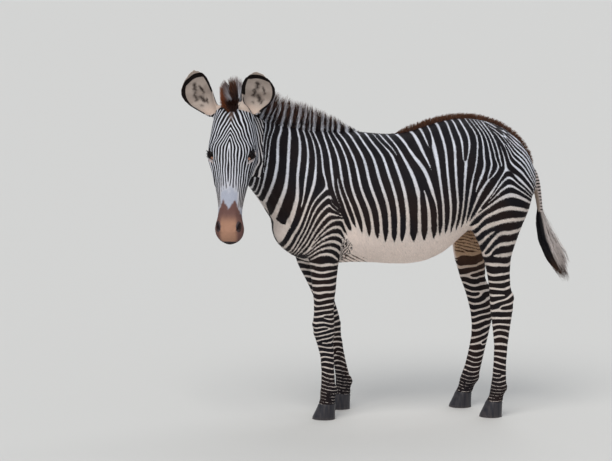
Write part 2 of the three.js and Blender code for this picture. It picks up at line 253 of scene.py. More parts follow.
def new_object(name, points, faces, smooth=True):
    """A mesh object from arrays. The faces all have the same number of corners."""
    corners = faces.shape[1]
    mesh = bpy.data.meshes.new(name)
    mesh.vertices.add(len(points))
    mesh.vertices.foreach_set("co", np.ascontiguousarray(points, np.float32).ravel())
    mesh.loops.add(faces.size)
    mesh.loops.foreach_set("vertex_index", np.ascontiguousarray(faces, np.int32).ravel())
    mesh.polygons.add(len(faces))
    mesh.polygons.foreach_set("loop_start", np.arange(0, faces.size, corners, dtype=np.int32))
    mesh.polygons.foreach_set("use_smooth", np.full(len(faces), smooth))
    mesh.update(calc_edges=True)
    thing = bpy.data.objects.new(name, mesh)
    bpy.context.scene.collection.objects.link(thing)
    return thing


def add_colour(thing, name, colours):
    """A colour for each vertex, in linear light."""
    layer = thing.data.color_attributes.new(name, "FLOAT_COLOR", "POINT")
    rgba = np.concatenate([colours, np.ones((len(colours), 1))], 1)
    layer.data.foreach_set("color", rgba.astype(np.float32).ravel())


def add_value(thing, name, values):
    layer = thing.data.attributes.new(name, "FLOAT", "POINT")
    layer.data.foreach_set("value", values.astype(np.float32))


def add_uv(thing, places):
    """The flat map named OFBake, one place for each face corner."""
    layer = thing.data.uv_layers.new(name="OFBake")
    layer.uv.foreach_set("vector", places.astype(np.float32).ravel())


def tube_faces(rings, sides):
    """Quads between closed rings of points, which are numbered ring by ring."""
    ring, side = np.meshgrid(np.arange(rings - 1), np.arange(sides), indexing="ij")
    a = (ring * sides + side).ravel()
    b = (ring * sides + (side + 1) % sides).ravel()
    return np.stack([a, b, b + sides, a + sides], 1)


# ---- Skin -----------------------------------------------------------------------------------

SKIN_CELL = 0.0055
SEAM_OVERLAP = 0.0012  # how far the solids are swollen, so that they join into one
LEGS = ("foreleg_left", "foreleg_right", "hindleg_left", "hindleg_right")
LEG_NODES = [f"{leg}_{half}" for leg in LEGS for half in ("upper", "lower")]
FLESH = ["trunk", "neck", "head", "tail", *LEG_NODES]
EARS = {
    "left": dict(down=0.048, left=0.084, length=0.222, width=0.180, lean=8, bow=0.020, turn=0),
    "right": dict(down=0.048, left=-0.090, length=0.252, width=0.164, lean=29, bow=0.036, turn=4),
}
EAR_FORWARD = 0.020
EAR_THICKNESS = 0.0085
EYE_RADIUS = 0.0225
EYE_DOWN, EYE_FACE, EYE_ASIDE = 0.254, 0.042, 0.098  # where the eyes are along the head's axes
EYES = {side: head_point(EYE_DOWN, EYE_FACE, -EYE_ASIDE * sign) for side, sign in SIDES.items()}


def node_mesh(name):
    """Points and triangles of a CAD node, with equal points merged."""
    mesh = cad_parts[name].data
    points = np.empty(len(mesh.vertices) * 3)
    mesh.vertices.foreach_get("co", points)
    points = points.reshape(-1, 3)
    mesh.calc_loop_triangles()
    triangles = np.empty(len(mesh.loop_triangles) * 3, int)
    mesh.loop_triangles.foreach_get("vertices", triangles)
    _, first, merged = np.unique(points.round(6), axis=0, return_index=True, return_inverse=True)
    return points[first], merged.reshape(-1)[triangles].reshape(-1, 3)


class Ear:
    """A cupped ear: its axes, and its shape at each height t from root to tip."""

    def __init__(self, side):
        sizes = EARS[side]
        sign = -SIDES[side]
        self.length, self.width, self.bow = sizes["length"], sizes["width"], sizes["bow"]
        self.out = LEFTWARD * sign
        self.up = turned(-DOWN, FACE, -sign * sizes["lean"])
        self.open = turned(FACE, self.up, sign * sizes["turn"])
        self.across = unit(np.cross(self.open, self.up))
        self.root = head_point(sizes["down"], 0, sizes["left"])

    def half_width(self, t):
        t = np.clip(t, 0, 1)
        return np.maximum(0.004, self.width / 2 * np.sin(math.pi * (0.12 + 0.87 * t**1.52)) ** 0.8)

    def wrap(self, t):
        """The half angle of the shell's arc."""
        return mix(2.6, 1.1, np.minimum(1, np.clip(t, 0, 1) * 1.7))

    def middle(self, t):
        t = np.asarray(t)[..., None]
        bowed = self.out * (self.bow * np.sin(math.pi * t))
        return self.root + self.up * (self.length * t) + bowed + self.open * (EAR_FORWARD * t * t)

    def shell(self, t, turn, inward):
        """A point of the shell at height t, turned by -1 to 1 round its arc."""
        wrap, half = self.wrap(t), self.half_width(t)
        radius = half / np.sin(np.minimum(wrap, math.pi / 2))
        angle = wrap * turn
        own = np.maximum(radius - inward, 0.001)
        depth = radius * np.cos(np.minimum(wrap, math.pi / 2)) - own * np.cos(angle)
        sideways = (own * np.sin(angle))[..., None] * self.across
        return self.middle(t) + sideways + depth[..., None] * self.open

    def places(self, points):
        """Each point's height t, and its distance across the ear as a share of the half width."""
        away = points - self.root
        t = away @ self.up / self.length
        across = np.abs((points - self.middle(np.clip(t, 0, 1))) @ self.across)
        return t, across / self.half_width(t)

    def solid(self):
        """The closed shell as points and triangles."""
        rings, arc = 56, 30
        t, turn = np.meshgrid(np.linspace(0, 1, rings), np.linspace(-1, 1, arc), indexing="ij")
        thick = np.minimum(EAR_THICKNESS, self.half_width(t) * 0.9) * (1 - 0.25 * t)
        outer = self.shell(t, turn, -0.0008)
        inner = self.shell(t, turn, thick)[:, ::-1]
        points = np.concatenate([outer, inner], 1).reshape(-1, 3)
        quads = tube_faces(rings, 2 * arc)
        ends = []
        for first, flip in ((0, 1), ((rings - 1) * 2 * arc, -1)):
            ring = first + np.arange(2 * arc)
            fan = [(ring[0], ring[k + 1], ring[k])[::flip] for k in range(1, 2 * arc - 1)]
            ends.append(np.array(fan))
        return points, np.concatenate([quads[:, [0, 1, 2]], quads[:, [0, 2, 3]], *ends])


EAR_SHAPES = {side: Ear(side) for side in SIDES}


def joined_solid():
    """The flesh as one object of overlapping solids."""
    parts = []
    for name in FLESH:
        surface = Surface(*node_mesh(name))
        parts.append((surface.points + surface.normals() * SEAM_OVERLAP, surface.triangles))
    parts += [node_mesh(f"eye_{side}") for side in SIDES]
    parts += [ear.solid() for ear in EAR_SHAPES.values()]
    starts = np.cumsum([0] + [len(points) for points, _ in parts])
    triangles = np.concatenate([tri + start for (_, tri), start in zip(parts, starts)])
    return new_object("flesh", np.concatenate([points for points, _ in parts]), triangles)


def remeshed(thing, cell):
    """One even surface round the overlapping solids of an object, which is then removed."""
    remesh = thing.modifiers.new("remesh", "REMESH")
    remesh.mode = "VOXEL"
    remesh.voxel_size = cell
    evaluated = thing.evaluated_get(bpy.context.evaluated_depsgraph_get())
    mesh = evaluated.to_mesh()
    points = np.empty(len(mesh.vertices) * 3)
    mesh.vertices.foreach_get("co", points)
    quads = np.empty(len(mesh.loops), np.int32)
    mesh.loops.foreach_get("vertex_index", quads)
    evaluated.to_mesh_clear()
    bpy.data.objects.remove(thing)
    quads = quads.reshape(-1, 4).astype(int)
    return outer_shell(points.reshape(-1, 3), np.concatenate([quads[:, [0, 1, 2]], quads[:, [0, 2, 3]]]))


def outer_shell(points, triangles):
    """The largest connected part, so that any hollow shut inside is dropped."""
    a, b = triangles[:, [0, 1, 1, 2]].reshape(-1, 2).T
    label = np.arange(len(points))
    while True:
        lower = label.copy()
        np.minimum.at(lower, a, label[b])
        np.minimum.at(lower, b, label[a])
        lower = lower[lower]
        if (lower == label).all():
            break
        label = lower
    kept = label == np.bincount(label).argmax()
    number = np.cumsum(kept) - 1
    return Surface(points[kept], number[triangles[kept[triangles[:, 0]]]])


def head_share(points):
    """1 on the head, 0 elsewhere, and smooth between them."""
    down, face, left = head_places(points)
    near = rise(np.abs(left), 0.16, 0.12) * rise(down, 0.0, 0.05)
    return near * rise(face, -0.20, -0.15) * rise(down, 0.80, 0.74)


def slim_share(points):
    """1 where the body is slim: legs, tail and ears."""
    x, z = points[:, 0], points[:, 2]
    legs = rise(z, 0.90, 0.70)
    tail = rise(x, 0.76, 0.80) * rise(z, 1.32, 1.25)
    ears = np.zeros(len(points))
    for ear in EAR_SHAPES.values():
        t, across = ear.places(points)
        ears = np.maximum(ears, rise(t, 0.02, 0.12) * rise(across, 1.5, 1.2))
    return np.maximum.reduce([legs, tail, ears])


def rounded_skin():
    """The flesh joined in one surface, with the facets of the solids smoothed away."""
    skin = remeshed(joined_solid(), SKIN_CELL)
    stiff = np.maximum(slim_share(skin.points), 0.85 * head_share(skin.points))
    skin.relax(mix(1.0, 0.08, stiff), 80)
    return skin


# ---- Sculpting ------------------------------------------------------------------------------

# Muscles, bones and hollows of the trunk and neck, the same on both sides:
# (start and end as x, distance from the middle plane and z; radius; height).
BODY_FORMS = (
    ((-0.22, 0.07, 1.40), (-0.42, 0.20, 1.10), 0.060, 0.006),  # spine of the shoulder blade
    ((-0.37, 0.10, 1.33), (-0.50, 0.15, 1.12), 0.055, -0.006),  # hollow before it
    ((-0.17, 0.13, 1.34), (-0.20, 0.22, 1.10), 0.055, -0.004),  # hollow behind it
    ((-0.22, 0.22, 1.12), (-0.29, 0.25, 1.00), 0.085, 0.008),  # triceps
    ((-0.47, 0.17, 1.05), (-0.46, 0.17, 1.00), 0.065, 0.010),  # point of the shoulder
    ((-0.22, 0.22, 0.93), (-0.22, 0.22, 0.91), 0.040, 0.008),  # elbow
    ((-0.51, 0.00, 1.02), (-0.47, 0.00, 0.86), 0.035, -0.010),  # furrow of the chest
    ((-0.66, 0.10, 1.22), (-0.50, 0.13, 1.02), 0.032, -0.008),  # jugular groove
    ((-0.66, 0.11, 1.33), (-0.47, 0.17, 1.12), 0.055, 0.005),  # muscle above it
    ((0.37, 0.20, 1.34), (0.42, 0.21, 1.22), 0.085, -0.009),  # hollow of the flank
    ((0.38, 0.16, 1.43), (0.40, 0.17, 1.41), 0.055, 0.009),  # point of the hip
    ((0.39, 0.20, 1.06), (0.47, 0.18, 0.94), 0.045, 0.008),  # fold of the flank
    ((0.56, 0.19, 1.37), (0.60, 0.21, 1.28), 0.110, 0.007),  # gluteal muscle
    ((0.47, 0.22, 1.00), (0.48, 0.22, 0.96), 0.065, 0.009),  # stifle
    ((0.69, 0.15, 1.30), (0.66, 0.20, 1.02), 0.030, -0.006),  # groove of the hamstrings
    ((0.75, 0.10, 1.24), (0.74, 0.11, 1.18), 0.055, 0.006),  # point of the buttock
)
RIB_COUNT, RIB_FIRST_X, RIB_STEP = 9, -0.10, 0.048
RIB_TOP, RIB_LOW = (0.00, 0.24, 1.22), (0.05, 0.27, 0.99)  # ends, as x from the rib's own, side and z
RIB_RADIUS, RIB_HEIGHT = 0.021, 0.0014

# The same for the legs: (height, place fore to aft, place in to out), the last two as shares of
# the leg's half length and half width there, with the front and the inside negative.
# A place in to out of `BOTH` stands for 1 and -1 in turn.
BOTH = (1.0, -1.0)
FETLOCK_FORMS = (
    ((0.155, 0.9, 0.0), (0.145, 0.9, 0.0), 0.026, 0.006),  # back of the fetlock
    ((0.150, 0.1, BOTH), (0.145, 0.1, BOTH), 0.022, 0.002),
    ((0.110, 0.9, 0.0), (0.108, 0.9, 0.0), 0.020, -0.005),  # hollow of the pastern
)
FORELEG_FORMS = (
    ((0.80, -0.6, 0.8), (0.62, -0.6, 0.7), 0.042, 0.004),  # extensor of the forearm
    ((0.80, 0.6, 0.8), (0.66, 0.6, 0.6), 0.040, 0.003),  # flexor
    ((0.80, 0.0, 1.0), (0.60, 0.1, 1.0), 0.016, -0.003),  # groove between them
    ((0.49, -0.9, 0.5), (0.49, -0.9, -0.5), 0.024, 0.004),  # upper and lower rows of the knee
    ((0.445, -0.9, 0.5), (0.445, -0.9, -0.5), 0.022, 0.003),
    ((0.455, 0.9, 0.5), (0.45, 0.9, 0.4), 0.022, 0.008),  # bone behind the knee
    ((0.41, 0.9, 0.0), (0.38, 0.9, 0.0), 0.024, -0.004),
    ((0.40, 0.35, BOTH), (0.19, 0.35, BOTH), 0.011, -0.004),  # between cannon and tendons
    *FETLOCK_FORMS,
)
HINDLEG_FORMS = (
    ((0.86, -0.3, 0.9), (0.74, -0.2, 0.9), 0.050, 0.005),  # gaskin
    ((0.77, 0.50, BOTH), (0.66, 0.45, BOTH), 0.020, -0.008),  # before the Achilles tendon
    ((0.635, 0.9, 0.0), (0.62, 0.95, 0.0), 0.026, 0.006),  # point of the hock
    ((0.575, -0.5, 1.0), (0.55, -0.5, 1.0), 0.030, 0.002),  # outside and inside of the hock
    ((0.575, 0.0, -1.0), (0.55, 0.0, -1.0), 0.030, 0.003),
    ((0.47, 0.35, BOTH), (0.20, 0.35, BOTH), 0.011, -0.004),  # between cannon and tendons
    *FETLOCK_FORMS,
)

# The same for the head: (distance down it, out of the face, from its middle plane).
HEAD_FORMS = (
    ((0.200, 0.085, 0.085), (0.235, 0.070, 0.110), 0.022, 0.006),  # brow over the eye
    ((0.170, 0.080, 0.080), (0.195, 0.065, 0.095), 0.024, -0.005),  # hollow above the brow
    ((0.285, 0.040, 0.112), (0.400, 0.020, 0.080), 0.016, 0.005),  # facial crest
    ((0.300, 0.075, 0.075), (0.390, 0.062, 0.060), 0.020, -0.004),  # between it and the nose
    ((0.250, -0.070, 0.110), (0.330, -0.090, 0.095), 0.070, 0.007),  # cheek
    ((0.360, -0.050, 0.075), (0.460, -0.045, 0.062), 0.030, -0.006),  # behind the cheek's edge
    ((0.300, 0.092, 0.000), (0.470, 0.074, 0.000), 0.026, 0.002),  # bridge of the nose
    ((0.560, 0.066, 0.030), (0.600, 0.066, 0.040), 0.022, 0.005),  # upper wing of the nostril
    ((0.640, 0.045, 0.062), (0.655, 0.030, 0.060), 0.022, 0.004),  # lower wing
    ((0.640, 0.062, 0.000), (0.665, 0.045, 0.000), 0.034, 0.004),  # upper lip
    ((0.600, 0.070, 0.000), (0.625, 0.066, 0.000), 0.018, -0.002),  # dip between the nostrils
    ((0.655, -0.040, 0.000), (0.668, -0.034, 0.000), 0.038, 0.006),  # chin
    ((0.040, 0.040, 0.060), (0.075, 0.030, 0.095), 0.030, -0.006),  # before the ear's root
)
# The line between the lips, from the middle to a corner, in the same measures.
MOUTH = ((0.694, -0.012, 0.0), (0.684, -0.012, 0.030), (0.662, -0.018, 0.054),
         (0.625, -0.026, 0.066), (0.585, -0.030, 0.064))
MOUTH_DEPTH, MOUTH_RADIUS = -0.00385, 0.0075
NOSTRIL = dict(down=0.612, face=0.050, left=0.052, length=0.021, width=0.0085, depth=-0.016)
LID_THICKNESS = 0.0026
EYE_OPENING = dict(length=0.0235, above=0.0150, below=0.0115)


def leg_frame(skin, leg, height):
    """Centre, half length and half width of a leg at a height."""
    in_front = skin.points[:, 0] < BETWEEN_LEGS_X
    own_end = in_front if leg.startswith("fore") else ~in_front
    outward = (skin.points[:, 1] - MIDLINE) * SIDES[leg.split("_")[1]]
    ring = skin.points[own_end & (outward > 0) & (np.abs(skin.points[:, 2] - height) < 0.006)]
    ring = ring[ring[:, 0] < 0.74]
    low, high = ring.min(0), ring.max(0)
    return (low + high) / 2, (high - low) / 2


def leg_point(skin, leg, height, aft, out):
    centre, half = leg_frame(skin, leg, height)
    outward = SIDES[leg.split("_")[1]]
    return np.array([centre[0] + aft * half[0], centre[1] + out * outward * half[1], height])


def sculpt_body(skin):
    ribs = []
    for rib in range(RIB_COUNT):
        first = RIB_FIRST_X + RIB_STEP * rib
        ends = [(first + x, out, z) for x, out, z in (RIB_TOP, RIB_LOW)]
        ribs.append((*ends, RIB_RADIUS, RIB_HEIGHT))
    for start, end, radius, height in (*BODY_FORMS, *ribs):
        for sign in SIDES.values():
            ends = [(x + SHIFT, MIDLINE + sign * out, z) for x, out, z in (start, end)]
            skin.swell(*ends, radius, height)


def sculpt_legs(skin):
    for leg in LEGS:
        forms = FORELEG_FORMS if leg.startswith("fore") else HINDLEG_FORMS
        placed = []
        for (z0, aft0, out0), (z1, aft1, out1), radius, height in forms:
            places = zip(BOTH, BOTH) if out0 is BOTH else [(out0, out1)]
            for first, last in places:
                ends = leg_point(skin, leg, z0, aft0, first), leg_point(skin, leg, z1, aft1, last)
                placed.append((*ends, radius, height))
        for form in placed:
            skin.swell(*form)


def sculpt_head(skin):
    for sign in (1, -1):
        for (s0, f0, l0), (s1, f1, l1), radius, height in HEAD_FORMS:
            share = 0.5 if l0 == 0 and l1 == 0 else 1.0  # a form on the middle plane is met twice
            start, end = head_point(s0, f0, sign * l0), head_point(s1, f1, sign * l1)
            skin.swell(start, end, radius, height * share)
        lips = [head_point(s, f, sign * l) for s, f, l in MOUTH]
        for start, end in zip(lips, lips[1:]):
            skin.swell(start, end, MOUTH_RADIUS, MOUTH_DEPTH)
        nostril(skin, sign)


def nostril_place(sign):
    return head_point(NOSTRIL["down"], NOSTRIL["face"], sign * NOSTRIL["left"])


def nostril(skin, sign):
    """A comma-shaped hole with a raised rim."""
    at = nostril_place(sign)
    out = unit(FACE * 0.72 + LEFTWARD * sign * 0.70)
    long_axis = unit(DOWN * 0.9 - LEFTWARD * sign * 0.1 + FACE * 0.2)
    long_axis = unit(long_axis - out * (long_axis @ out))
    across = np.cross(out, long_axis) * sign
    near = np.flatnonzero(np.linalg.norm(skin.points - at, axis=1) < 0.06)
    away = skin.points[near] - at
    u, v = away @ long_axis, away @ across
    bent = v + 9.0 * u * np.abs(u)
    ring = (u / NOSTRIL["length"]) ** 2 + (bent / NOSTRIL["width"]) ** 2
    skin.points[near] += out * (NOSTRIL["depth"] * rise(ring, 1.15, 0.35))[:, None]
    rim = within(ring, 0.9, 1.5, 1.6, 4.0)
    skin.points[near] += out * (0.0030 * rim)[:, None]


class EyeFrame:
    """An eye's axes: out of the head, along its opening to the outer corner, and up across it."""

    def __init__(self, side):
        sign = -SIDES[side]
        self.centre = EYES[side]
        self.out = unit(LEFTWARD * sign * 0.86 + FACE * 0.50 + DOWN * 0.02)
        long_axis = -0.74 * DOWN - 0.50 * FACE + 0.42 * LEFTWARD * sign
        self.along = unit(long_axis - self.out * (long_axis @ self.out))
        self.up = np.cross(self.out, self.along)
        if self.up @ Z < 0:
            self.up = -self.up

    def places(self, points):
        away = points - self.centre
        return away @ self.along, away @ self.up, away @ self.out

    def opening(self, u, v):
        """Under 1 inside the gap between the lids, and more outside it."""
        height = np.where(v > 0, EYE_OPENING["above"], EYE_OPENING["below"])
        return np.abs(u / EYE_OPENING["length"]) ** 1.7 + np.abs(v / height) ** 2


EYE_FRAMES = {side: EyeFrame(side) for side in SIDES}


def sculpt_lids(skin):
    """Lids that lie on the eyeball and open in an almond, with a fold above and below them."""
    for eye in EYE_FRAMES.values():
        near = np.flatnonzero(np.linalg.norm(skin.points - eye.centre, axis=1) < 0.060)
        away = skin.points[near] - eye.centre
        u, v, front = eye.places(skin.points[near])
        ring = eye.opening(u, v)
        radius = np.linalg.norm(away, axis=1)
        lid = EYE_RADIUS + LID_THICKNESS
        folded = lid - 0.0016 * np.exp(-(((ring - 2.7) / 0.7) ** 2)) + 0.0012 * rise(ring, 3.0, 4.5)
        wanted = mix(folded, radius, rise(ring, 2.6, 7.5))
        wanted = mix(EYE_RADIUS * 0.80, wanted, rise(ring, 0.92, 1.22))
        share = rise(front, 0.0, 0.008)
        target = eye.centre + away / radius[:, None] * mix(radius, wanted, share)[:, None]
        skin.points[near] = target


def sculpted_skin():
    skin = rounded_skin()
    skin.facing = skin.normals()
    sculpt_body(skin)
    sculpt_legs(skin)
    first = skin.points[skin.triangles[:, 0]]
    croup = (first[:, 0] > 0.48) & (first[:, 0] < 0.80) & (first[:, 2] > 1.20)
    skin = skin.refined((head_share(first) > 0.5) | croup)
    for side in SIDES:
        skin = skin.refined(skin.near(EYES[side], 0.048))
        skin = skin.refined(skin.near(EYES[side], 0.036))
    for sign in (1, -1):
        skin = skin.refined(skin.near(nostril_place(sign), 0.034))
    skin.relax(0.5 * head_share(skin.points), 3)
    skin.facing = skin.normals()
    sculpt_head(skin)
    sculpt_lids(skin)
    skin.relax(0.35 * head_share(skin.points), 2)
    return skin


def coat_depth(points):
    """How far the fur stands over the skin."""
    down, _, _ = head_places(points)
    face = head_share(points)
    short = np.maximum(slim_share(points), face)
    return mix(0.0036, 0.0016, short) * mix(1.0, 0.5, face * rise(down, 0.50, 0.60))


# ---- Stripes of the body --------------------------------------------------------------------

# Lines along single white stripes of the flank, neck, shoulder and haunch, as (x, z) in mm from
# the crest down, or from front to back. The stripes between two of them are spaced evenly.
POLL_LINE = ((-900, 1640), (-890, 1500), (-880, 1300), (-870, 1150), (-860, 1040))
JAW_LINE = ((-685, 1490), (-680, 1405), (-670, 1325), (-680, 1210), (-700, 1120), (-740, 1020))
NECK_1 = ((-575, 1500), (-600, 1445), (-615, 1340), (-630, 1240), (-650, 1140), (-690, 1020))
NECK_2 = ((-535, 1490), (-560, 1430), (-565, 1315), (-590, 1200), (-620, 1110))
NECK_4 = ((-450, 1490), (-445, 1415), (-460, 1275), (-465, 1130), (-525, 940))
NECK_6 = ((-390, 1480), (-370, 1405), (-370, 1265), (-430, 1090), (-490, 915))
SHOULDER_TOP = ((-365, 1470), (-340, 1395), (-330, 1280), (-322, 1205))
SHOULDER_FRONT = ((-322, 1205), (-400, 1110), (-470, 880))
SHOULDER_BACK = ((-322, 1205), (-300, 1155), (-255, 1090), (-225, 1025), (-210, 985))
TRUNK_1 = ((-310, 1455), (-295, 1340), (-290, 1215), (-250, 1100), (-200, 985))
TRUNK_4 = ((-235, 1470), (-180, 1350), (-145, 1205), (-105, 1090), (-80, 950))
TRUNK_8 = ((-40, 1445), (20, 1350), (60, 1210), (80, 1085), (85, 950))
TRUNK_11 = ((75, 1455), (125, 1365), (185, 1265), (225, 1130), (245, 970))
TRUNK_14 = ((225, 1495), (235, 1370), (250, 1235), (265, 1105), (280, 970))
TRUNK_16 = ((320, 1520), (330, 1390), (335, 1235), (345, 1105), (340, 995))
TRUNK_19 = ((425, 1540), (455, 1460), (445, 1340), (410, 1190), (400, 1050))
RUMP_TOP = ((525, 1525), (565, 1440), (585, 1360), (595, 1300))
RUMP_FRONT = ((595, 1300), (520, 1175), (440, 1050))
RUMP_BACK = ((595, 1300), (670, 1245), (745, 1175))
DORSAL_LINE = ((460, 1555), (575, 1520), (675, 1460), (760, 1390), (805, 1285), (820, 1225))
HAUNCH_3 = ((445, 1050), (525, 1120), (580, 1160), (645, 1170), (750, 1125))
HAUNCH_5 = ((460, 960), (500, 1005), (560, 1025), (625, 1040), (710, 1045))
HAUNCH_7 = ((500, 850), (530, 905), (575, 965), (630, 970), (695, 985))
THIGH_END = ((500, 790), (530, 800), (565, 835), (620, 850), (680, 855))
ARM_5 = ((-400, 895), (-375, 950), (-335, 1005), (-295, 1040), (-250, 1045), (-230, 1010))
ARM_10 = ((-420, 800), (-395, 825), (-355, 855), (-300, 860), (-245, 825))
ARM_END = ((-420, 760), (-395, 780), (-350, 815), (-295, 815), (-240, 790))

# The bands between such lines: (first, last, stripes from one to the other, evenness of their
# spacing, and forks). A fork is (share of the way across, share of the way along, 1 if the added
# stripe runs on past there or -1 if it ends there).
BANDS = (
    (POLL_LINE, JAW_LINE, 5, 0.9, ()),
    (JAW_LINE, NECK_1, 2, 0.9, ((0.30, 0.45, -1), (0.75, 0.50, -1))),
    (NECK_1, NECK_2, 1, 1.0, ()),
    (NECK_2, NECK_4, 2, 1.0, ()),
    (NECK_4, NECK_6, 1, 1.0, ((0.52, 0.68, -1),)),
    (NECK_6, SHOULDER_TOP + SHOULDER_FRONT[1:], 1, 1.0, ()),
    (SHOULDER_TOP + SHOULDER_BACK[1:], TRUNK_1, 1, 1.0, ()),
    (TRUNK_1, TRUNK_4, 3, 1.0, ((0.18, 0.42, 1),)),
    (TRUNK_4, TRUNK_8, 4, 1.0, ()),
    (TRUNK_8, TRUNK_11, 2, 1.0, ((0.25, 0.26, -1), (0.72, 0.52, 1))),
    (TRUNK_11, TRUNK_14, 1, 1.0, ((0.45, 0.40, -1), (0.80, 0.22, -1))),
    (TRUNK_14, TRUNK_16, 2, 1.0, ((0.80, 0.90, 1),)),
    (TRUNK_16, TRUNK_19, 2, 1.0, ((0.45, 0.40, -1),)),
    (TRUNK_19, RUMP_TOP + RUMP_FRONT[1:], 2, 1.0,
     ((0.30, 0.70, -1), (0.55, 0.56, -1), (0.80, 0.44, -1))),
    (RUMP_TOP + RUMP_BACK[1:], DORSAL_LINE, 4, 0.80,
     ((0.30, 0.36, 1), (0.55, 0.32, 1), (0.75, 0.28, 1), (0.90, 0.34, 1))),
    (RUMP_FRONT[::-1] + RUMP_BACK[1:], HAUNCH_3, 2, 1.0, ((0.45, 0.22, 1),)),
    (HAUNCH_3, HAUNCH_5, 2, 1.0, ()),
    (HAUNCH_5, HAUNCH_7, 1, 1.0, ((0.50, 0.45, -1),)),
    (HAUNCH_7, THIGH_END, 2, 1.0, ()),
    (SHOULDER_FRONT[::-1] + SHOULDER_BACK[1:], ARM_5, 4, 1.0, ()),
    (ARM_5, ARM_10, 5, 1.0, ()),
    (ARM_10, ARM_END, 1, 1.0, ()),
)
LINE_OVERRUN = 0.06  # how far each line runs on past its ends, beyond the outline
LINE_STEPS = 400  # points along a line
FORK_OPENING = 0.22  # the share of the way along in which an added stripe reaches full width


def beside(grid):
    """The sum of the four cells beside each one."""
    return sum(np.roll(grid, step, axis) for axis in (0, 1) for step in (-1, 1))


class StripeMap:
    """The body stripes as a wave on the side view: 1 along white stripes and -1 along black."""

    CELL = 0.0025
    ORIGIN = np.array([SHIFT - 1.0, 0.66])
    SHAPE = (760, 400)

    def __init__(self):
        self.wave = np.zeros(self.SHAPE, complex)
        self.count = np.zeros(self.SHAPE)
        for first, last, stripes, evenness, forks in BANDS:
            self.lay(self.line(first), self.line(last), stripes, evenness, forks)
        self.spread(90)
        for _ in range(5):
            self.wave = mix(self.wave, beside(self.wave) / 4, 0.6)

    @staticmethod
    def line(points):
        places = np.array(points) * MM + [SHIFT, 0]
        before = places[0] + unit(places[0] - places[1]) * LINE_OVERRUN
        beyond = places[-1] + unit(places[-1] - places[-2]) * LINE_OVERRUN
        return curve_through([before, *places, beyond], LINE_STEPS)

    def lay(self, first, last, stripes, evenness, forks):
        steps = np.linspace(0, 1, 24 * stripes + 50), np.linspace(0, 1, LINE_STEPS)
        u, t = np.meshgrid(*steps, indexing="ij")
        places = mix(first[None], last[None], (u**evenness)[..., None])
        turns = stripes * u
        for across, along, ends in forks:
            opened = np.clip(ends * (t - along) / FORK_OPENING, 0, 1) ** 0.6 * 2 / max(stripes, 2)
            turns += np.clip((u - across) / np.maximum(opened, 1e-4) + 0.5, 0, 1)
        cells = np.round((places - self.ORIGIN) / self.CELL).astype(int).reshape(-1, 2)
        inside = ((cells >= 0) & (cells < self.SHAPE)).all(1)
        flat = np.ravel_multi_index(cells[inside].T, self.SHAPE)
        waves = wave_of(turns.ravel()[inside])
        size = self.wave.size
        real = np.bincount(flat, waves.real, size) + 1j * np.bincount(flat, waves.imag, size)
        self.wave += real.reshape(self.SHAPE)
        self.count += np.bincount(flat, minlength=size).reshape(self.SHAPE)

    def spread(self, rounds):
        """Fills the cells that no band reaches from those beside them."""
        known = self.count > 0
        self.wave = np.where(known, self.wave / np.maximum(self.count, 1), 0)
        share = known.astype(float)
        for _ in range(rounds):
            weight = beside(share)
            self.wave = np.where(known, self.wave, beside(self.wave) / np.maximum(weight, 1e-9))
            share = np.where(known, 1.0, np.minimum(weight, 1))
            self.wave = np.where(share > 0, self.wave, 0)

    def at(self, places):
        """The wave at (x, z) places, between the cells as well."""
        spot = (places - self.ORIGIN) / self.CELL
        spot = np.clip(spot, 0, np.array(self.SHAPE) - 1.001)
        low = spot.astype(int)
        part = spot - low
        i, j = low.T
        wave = self.wave
        near = mix(wave[i, j], wave[i + 1, j], part[:, 0])
        far = mix(wave[i, j + 1], wave[i + 1, j + 1], part[:, 0])
        return mix(near, far, part[:, 1])


STRIPE_MAP = StripeMap()

# Heights of white bands down a leg against the width of a stripe and its gap there.
FORELEG_PITCH = ((0.05, 0.013), (0.14, 0.017), (0.20, 0.022), (0.28, 0.028), (0.35, 0.030),
                 (0.42, 0.022), (0.55, 0.028), (0.70, 0.036), (0.85, 0.040))
HINDLEG_PITCH = ((0.05, 0.013), (0.12, 0.015), (0.20, 0.024), (0.30, 0.034), (0.40, 0.036),
                 (0.50, 0.035), (0.62, 0.036), (0.75, 0.042), (0.85, 0.055), (1.00, 0.055))
FORELEG_WHITE, HINDLEG_WHITE = 0.812, 0.850  # heights of the white bands that the legs start at
LEGS_END, FACE_END = 1.1, 0.6  # how far up a leg, and out over the face, stripes are counted


def turns_along(place, pitches, end):
    """How many stripes lie between 0 and each place, for widths that change along the way."""
    levels = np.linspace(0.0, end, round(end / MM) + 1)
    turns = np.cumsum(1 / looked_up(levels, pitches)) * (levels[1] - levels[0])
    return np.interp(place, levels, turns)


def leg_turns(height, pitches, start):
    """How many stripes below `start` each height lies."""
    return turns_along(start, pitches, LEGS_END) - turns_along(height, pitches, LEGS_END)


FRONT_PROFILE = ((0.0, 0.055), (0.045, 0.080), (0.165, 0.100), (0.305, 0.089), (0.466, 0.073),
                 (0.604, 0.065), (0.66, 0.048), (0.692, 0.006))
FACE_SPREAD = 0.62  # sideways travel of the forehead's stripes for each unit down
EYE_LEVEL = 0.238
CHEEK_SLANT = 0.60  # how fast the cheeks' stripes run outwards as they go down
CHEEK_START, CHEEK_WIDENING = 0.060, 0.20  # how far out they grow wider, and by what share
FACE_PITCH = ((0.00, 0.0140), (0.05, 0.0160), (0.09, 0.021), (0.14, 0.029), (0.30, 0.032))


